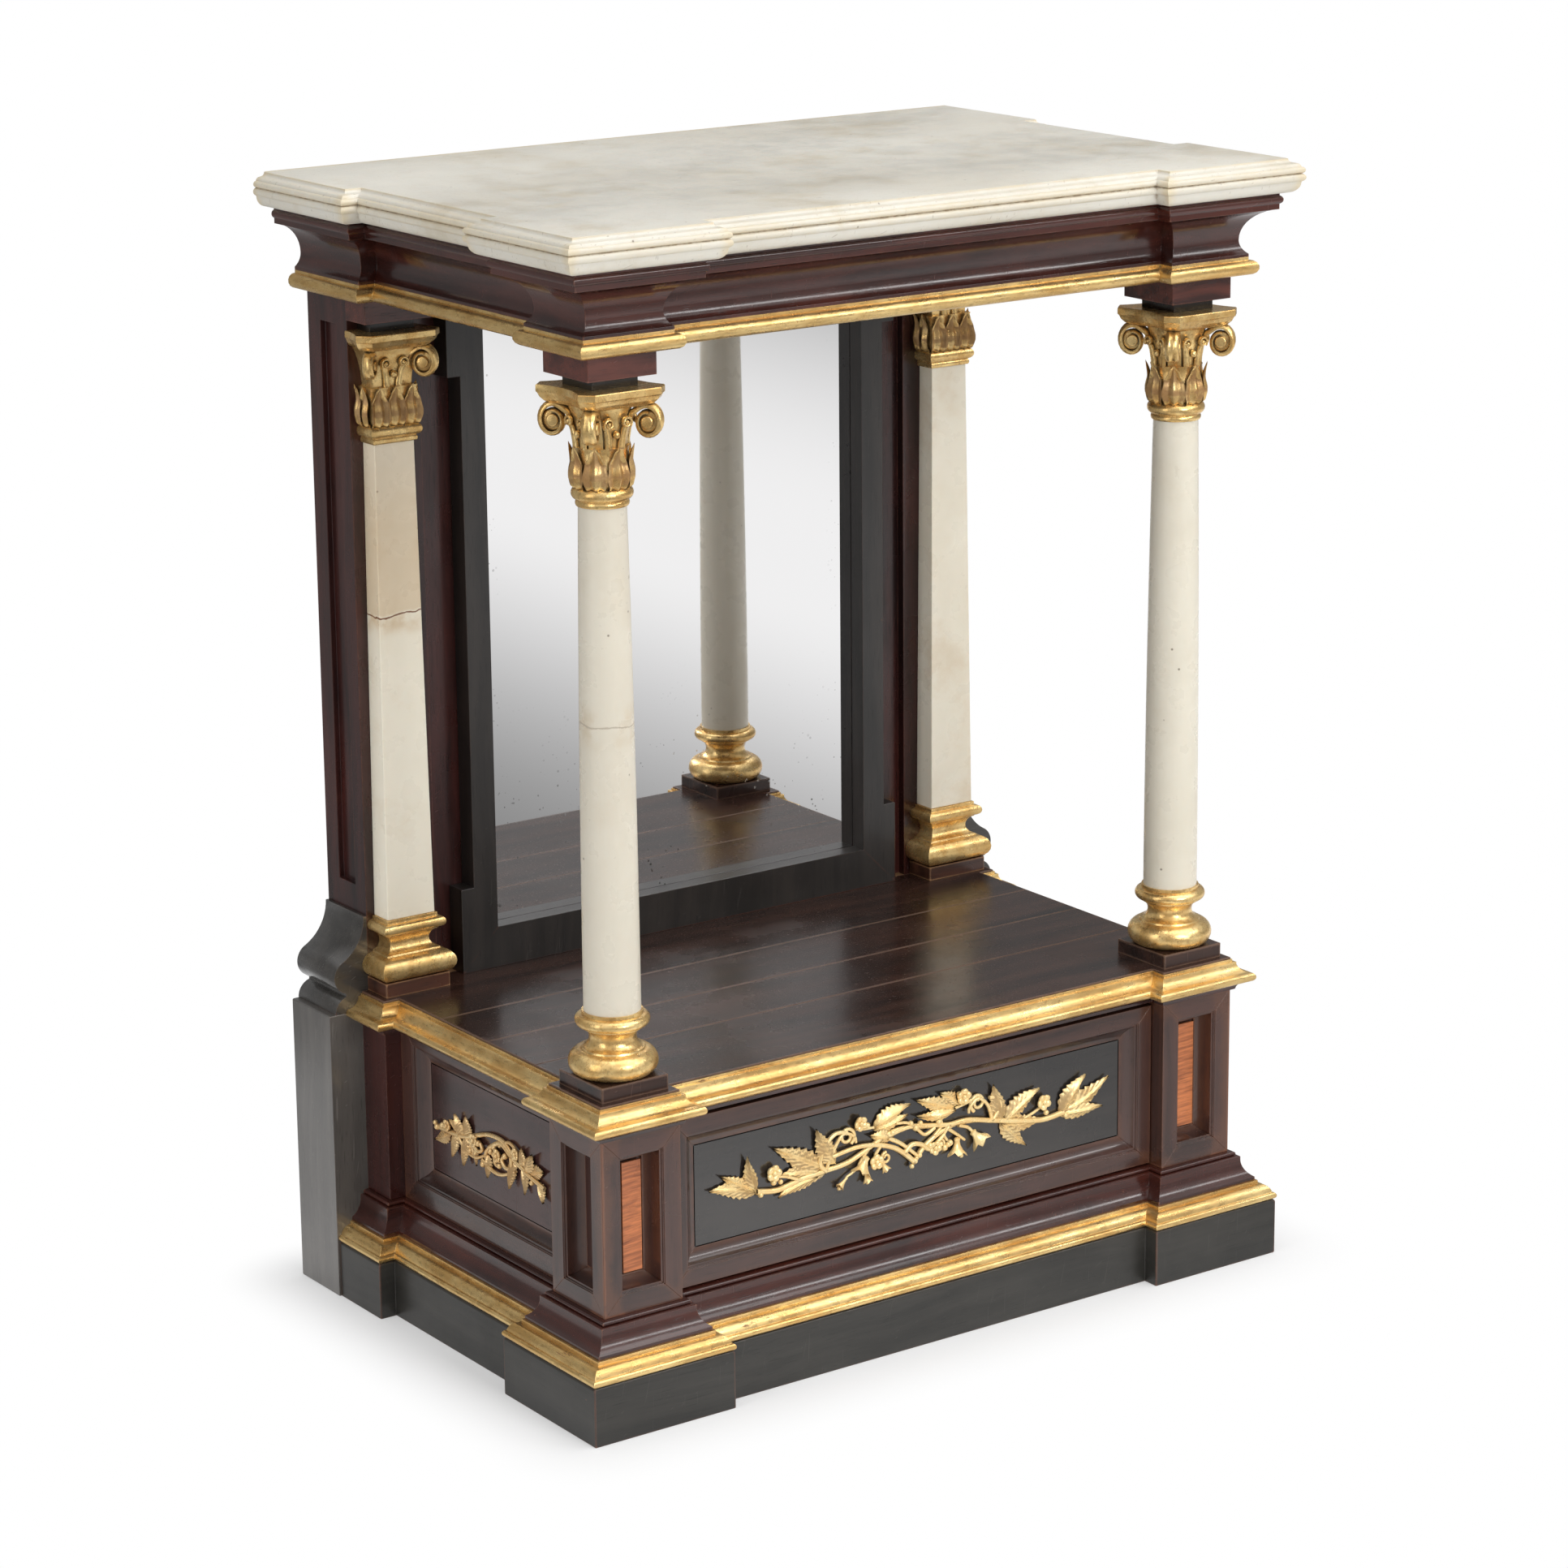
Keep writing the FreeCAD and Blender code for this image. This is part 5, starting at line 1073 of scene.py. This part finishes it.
def drawer_mount():
    """The cast branch on the drawer: serrated leaves, crossed stems, tendrils and bell flowers."""
    shape = new_shape()
    plane = flat_on((0, DRAWER_PANEL_FACE, MOUNT_HEIGHT + 0.25), X, -Y)
    stems = (
        (2.1, -161, -13, -140, -16, -118, -12, -92, -10, -70, -8, -48, 0, -31, 7, -12, 10, 19, 5),
        (2.1, 158, -12, 136, -14, 112, -10, 81, -3, 55, 3, 36, 3, 19, 6, -6, 10, -31, 6),
        (2.0, -1, -22, -12, -12, -24, -4, -42, 2, -62, 4, -86, 1),
        (2.0, 1, -20, 10, -11, 24, -3, 42, 2, 60, 1, 81, -3),
        (1.4, -92, -10, -84, 6, -74, 18, -63, 14, -61, 8), (1.4, 81, -3, 76, 12, 66, 20, 57, 14, 56, 9),
        (1.4, -47, 0, -53, -6, -58, -13), (1.4, 31, 2, 42, -6, 52, -14), (1.3, -36, 0, -41, -6, -43, -12),
        (1.5, 46, 0, 56, -4, 61, -9), (1.1, -58, -13, -64, -17, -71, -20), (1.1, -54, -4, -53, -12, -52, -18),
        (1.1, -41, -6, -38, -9, -36, -12), (1.9, -92, -10, -98, -2, -92, 12, -82, 20, -70, 19),
        (1.9, -12, -12, -4, -6, 6, -8, 14, -14, 22, -10, 30, -4), (1.5, 20, -4, 28, 4, 24, 12, 14, 12),
        (1.7, 81, -3, 90, 8, 86, 16, 78, 18), (1.3, 36, 3, 30, -4, 33, -10), (1.3, -61, 20, -54, 18, -42, 17),
        (1.3, 60, 20, 52, 18, 42, 16), (1.2, -118, -12, -132, -6, -142, -4), (1.2, 112, -10, 126, -6, 135, -2),
        (1.7, -28, 5, -16, -2, -6, -10, 3, -18), (1.4, 20, 4, 10, 0, 2, 6, -8, 14, -20, 16),
    )
    leaves = (
        (-161, -13, -208, -2, 15), (-162, -12, -196, 8, 12), (-162, -13, -171, 20, 13),
        (-92, -12, -138, -4, 18), (-92, -7, -144, 21, 18), (-82, -5, -102, 29, 18), (-100, -13, -140, -22, 12),
        (-22, 5, -47, 11, 11), (-42, 18, -6, 31, 14), (-42, 16, -8, 22, 12), (42, 17, 1, 32, 13),
        (42, 15, 1, 18, 10), (49, 17, 26, 33, 12), (92, -7, 82, 29, 17), (95, -6, 131, 16, 17),
        (92, -8, 136, -12, 15), (91, -8, 117, -32, 14), (155, -12, 181, 18, 17), (158, -12, 207, 11, 17),
        (155, -13, 200, -14, 13),
    )
    buds = (
        (-145, -8, 2.6), (-138, -9, 2.2), (-50, 21, 2.6), (46, 28, 2.4), (139, -8, 2.4), (15, -11, 2.8),
        (-1, -21, 2.8), (4, -17, 2.4), (34, -14, 2.6), (160, -15, 2.4), (-158, -16, 2.4), (0, 8, 2.8),
        (-5, 13, 2.4), (5, 11, 2.4), (-24, 9, 2.4), (24, 8, 2.4), (30, -16, 3.0), (36, -13, 2.8), (26, -12, 2.6),
        (-79, -28, 1.8), (-50, -29, 1.8), (-31, -23, 1.8), (-4, -25, 2.2), (48, -27, 2.0),
    )
    blossoms = ((-145, 0, 7.4), (-57, 24, 6.6), (50, 25, 7.4), (136, 2, 7.2), (-41, -13, 7.0), (20, -14, 6.4))
    vine_spray(shape, plane, stems, leaves, buds, blossoms)
    bells = (((-50, -6), (-57, -19), 7.0), ((-70, -20), (-79, -27), 3.0), ((-52, -17), (-50, -28), 3.2),
             ((-36, -12), (-31, -22), 3.0), ((44, -10), (43, -24), 6.4), ((60, -8), (68, -18), 6.8))
    for root, mouth, radius in bells:
        bell_flower(shape, plane, root, mouth, radius)
    for centre, *curl in (((-70, 15), 8.0, -60, 1.5, 1.4), ((66, 16), 8.0, 240, -1.5, 1.4),
                          ((-30, -12), 5.2, 90, 1.3, 1.2), ((26, -13), 5.2, 90, -1.3, 1.2)):
        tendril(shape, plane, centre, *curl)
    finish_piece("drawer_branch", shape, "gilt_metal", "gilt_bronze", "drawer_mount", body="drawer", smooth=50,
                 merge=False)


def side_mounts():
    """Vine leaves and scrolls cast in one piece for each side panel."""
    stems = (
        (2.0, 84, -2, 55, -1, 36, 2, 20, 8, 0, 14, -22, 14, -35, 6),
        (2.0, 0, 3, -18, 12, -35, 5, -60, -3, -84, -8), (1.7, -35, 5, -34, -4, -26, -7, -20, -2, -24, 3),
        (1.6, 0, 3, 7, -3, 6, -10, 0, -14), (1.6, 12, -11, -4, -16, -20, -15, -40, -6),
        (1.7, 20, 8, 24, 0, 18, -5, 11, -2, 14, 3), (1.5, -60, -3, -48, 8, -30, 16, -14, 8),
        (1.5, 50, -1, 38, -10, 22, -12, 8, -6),
    )
    leaves = (
        (40, 2, 64, 10, 14), (38, 3, 37, 20, 14), (48, 0, 53, 18, 12), (66, -2, 88, -14, 12),
        (57, -1, 59, -21, 12), (38, 2, 40, -23, 13), (34, 3, 21, -18, 12), (6, -5, 3, -23, 12),
        (-36, 3, -32, -22, 13), (-48, 0, -54, -21, 12), (-48, 0, -50, 17, 13), (-55, -2, -67, 17, 14),
        (-60, -3, -83, 6, 13), (-74, -6, -83, -20, 12),
    )
    buds = ((83, -2, 2.8), (-25, 3, 2.8), (-3, 1, 3.0), (17, 2, 2.8), (10, -14, 2.8), (86, 1, 2.2), (-8, 6, 2.4),
            (-16, -8, 2.6), (30, -8, 2.6), (-66, -8, 2.4), (74, 2, 2.6))
    blossoms = ((-13, 0, 6.2), (24, 3, 6.2), (-42, 10, 5.6), (66, 4, 5.4))
    for name, side in SIDES:
        shape = new_shape()
        plane = flat_on((side * SIDE_PANEL_FACE, SIDE_MIDDLE, MOUNT_HEIGHT), Y, side * X)
        vine_spray(shape, plane, stems, leaves, buds, blossoms)
        tendril(shape, plane, (-10, -5), 6.5, 60, 1.4, 1.4)
        tendril(shape, plane, (26, -6), 5.5, 100, -1.4, 1.4)
        # their gilding is a darker copy of the drawer mount's: painted shade of the sides
        finish_piece("side_branch_" + name, shape, "side_gilt_metal", "gilt_bronze", "side_mount_" + name,
                     smooth=50, merge=False)


# ---- the table ----
mouldings()
marble_slab()
front_piers()
side_frames()
drawer_framing()
columns()
pilasters()
for side_name, side_way in SIDES:
    column_capital(side_name, side_way)
    pilaster_capital(side_name, side_way)
drawer_mount()
side_mounts()

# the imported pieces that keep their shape: finish, how far their arrises are eased, names
for coat_name, eased, pieces in (
    ("shelf_wood", 0.5, "shelf_board_1 shelf_board_2 shelf_board_3 shelf_board_4"),
    ("mahogany_upright", 0.6, "back_post_left back_post_right"),
    ("bracket_ebony", 0.6, "post_brackets"),
    # the rear slabs carry the pale grey of a painted sheen
    ("slab_ebony", 1.0, "rear_slabs"),
    ("mahogany_upright", 0.5, "rear_piers"),
    ("dark_panel", 0.0, "side_panels"),
    ("shelf_wood", 0.7, "column_plinths"),
    ("foot_wood", 0.7, "pilaster_plinths"),
    ("block_wood", 0.5, "column_blocks pilaster_blocks"),
    ("inlay_wood", 0.0, "pier_inlays"),
    ("ebonised_across", 0.0, "drawer_panel"),
    ("ebonised_upright", 0.6, "mirror_frame"),
    ("mahogany_upright", 0.0, "mirror_backboard"),
    ("silvered_glass", 0.0, "mirror_glass"),
    ("mahogany_across", 0.0, "soffit_board"),
    ("inner_wood", 0.3, "bottom_board top_frame top_rail drawer_bottom drawer_stops"),
    ("inner_wood", 0.5, "back_panel back_rail"),
    ("inner_wood", 0.6, "drawer_back"),
    ("inner_wood_deep", 0.3, "drawer_runners drawer_kickers"),
    ("inner_wood_deep", 0.6, "drawer_sides"),
    ("dark_iron", 0.0, "column_dowels"),
):
    for piece_name in pieces.split():
        dress_node(piece_name, coat_name, eased)


# ---- floor, backdrop, lamps and camera ----
UNDER_TABLE = (0.35, 0.22, 0)  # half the width and the depth that the table covers, in metres


def studio_floor():
    """A white floor: lit close to the table, so that its shadow shows, and plain white further off; in reflections
    it carries painted light, a bright band to the right of the table and, near the table, light that is brightest
    about its middle.
    """
    shape = bmesh.new()
    bmesh.ops.create_grid(shape, x_segments=1, y_segments=1, size=20)
    mesh = bpy.data.meshes.new("floor")
    shape.to_mesh(mesh)
    shape.free()
    floor = stood("floor", mesh)
    pale = Finish("pale_floor")
    pale.feed(pale.shader.inputs, {"Base Color": colour((0.88, 0.88, 0.88)), "Roughness": 0.9,
                                   "Specular IOR Level": 0.1})
    out = pale.vector("SUBTRACT", pale.vector("ABSOLUTE", pale.place), UNDER_TABLE)
    out = pale.vector("MAXIMUM", out)  # nothing is nearer than the edge
    off = pale.add("VectorMath", {0: out}, operation="LENGTH")["Value"]
    plain = pale.span(off, -0.01, 0.09, 0.30, 1.0)
    across = pale.part("X")
    # painted light for reflections: a band, brightest 1.5 to 1.8 m to the right of the table
    bright = pale.times(pale.span(across, 0.4, 1.5, 0.28, 1.0), pale.span(across, 1.8, 4.0, 1.0, 0.3))
    # painted light for reflections near the table: brightest just left of its middle, seen as sheen on the base
    close = pale.times(pale.span(across, -0.5, -0.1, 0.65, 1.0), pale.span(across, 0.0, 0.5, 1.0, 0.62))
    bright = pale.blend(pale.span(off, 0.72, 0.50), bright, close)
    ray = pale.add("LightPath", {})
    # camera rays see plain white; reflections see the painted light
    tone = pale.blend(ray["Is Glossy Ray"], WHITE, bright)
    white = pale.add("Emission", {"Color": tone, "Strength": 1.0})[0]
    seen = pale.most(ray["Is Camera Ray"], ray["Is Glossy Ray"])
    lit = pale.shader.outputs[0]
    both = pale.add("MixShader", {0: pale.times(seen, plain), 1: lit, 2: white})[0]
    pale.feed(pale.tree.nodes["Material Output"].inputs, {"Surface": both})
    mesh.materials.append(pale.material)


def backdrop():
    """White where it is looked at; in reflections it darkens from overhead down to eye level, and a painted band of
    reflected light lies towards the front above eye level.
    """
    world = bpy.data.worlds.new("backdrop")
    bpy.context.scene.world = world
    world.use_nodes = True
    sky = Nodes(world.node_tree)
    ray = sky.add("LightPath", {})
    way = sky.add("SeparateXYZ", {0: sky.add("TexCoord", {})["Generated"]})
    overhead = sky.span(way["Z"], 0.50, 0.92, 0.26, 1.0)
    # painted reflected light: brighter towards the front above eye level, seen only in reflections
    front = sky.times(sky.span(way["Y"], 0.0, -0.8, 0.26, 0.85), sky.span(way["Z"], 0.33, 0.46, 0.58, 1.0))
    tone = sky.blend(ray["Is Glossy Ray"], colour((0.52, 0.52, 0.52)), sky.most(overhead, front))
    seen = sky.most(ray["Is Camera Ray"], ray["Is Transmission Ray"])
    sky.feed(sky.tree.nodes["Background"].inputs, {"Color": sky.blend(seen, tone, WHITE)})


def lamp(name, place, aim, size, power):
    light = bpy.data.lights.new(name, "AREA")
    light.shape = "RECTANGLE"
    light.size, light.size_y = size
    light.energy = power
    holder = stood(name, light)
    holder.location = place
    holder.rotation_euler = (Vector(aim) - Vector(place)).to_track_quat("-Z", "Y").to_euler()


def camera():
    lens = bpy.data.cameras.new("camera")
    lens.sensor_width = 36
    lens.lens = 103.87
    lens.shift_y = -0.0518
    holder = stood("camera", lens)
    yaw, pitch, roll = radians(35.198), radians(14.40), radians(-0.542)
    ahead = Vector((sin(yaw) * cos(pitch), cos(yaw) * cos(pitch), -sin(pitch)))
    right = Vector((cos(yaw), -sin(yaw), 0))
    upward = right.cross(ahead)
    level, tilted = right * cos(roll) + upward * sin(roll), upward * cos(roll) - right * sin(roll)
    holder.matrix_world = placed((-2.1406, -3.0311, 1.4588), level, tilted, -ahead)
    bpy.context.scene.camera = holder


studio_floor()
backdrop()
lamp("overhead_softbox", (0.4, -0.6, 3.0), (0, 0, 0.4), (2.4, 2.4), 36)
lamp("front_softbox", (0.1, -3.7, 1.9), (0, 0, 0.45), (1.2, 1.5), 54)
lamp("right_strip", (1.9, -2.1, 2.5), (0.1, -0.2, 0.8), (1.8, 0.35), 16)
lamp("left_strip", (-3.4, -0.6, 1.5), (0, 0, 0.5), (1.0, 2.6), 24)
camera()
bpy.context.scene.view_settings.view_transform = "Standard"
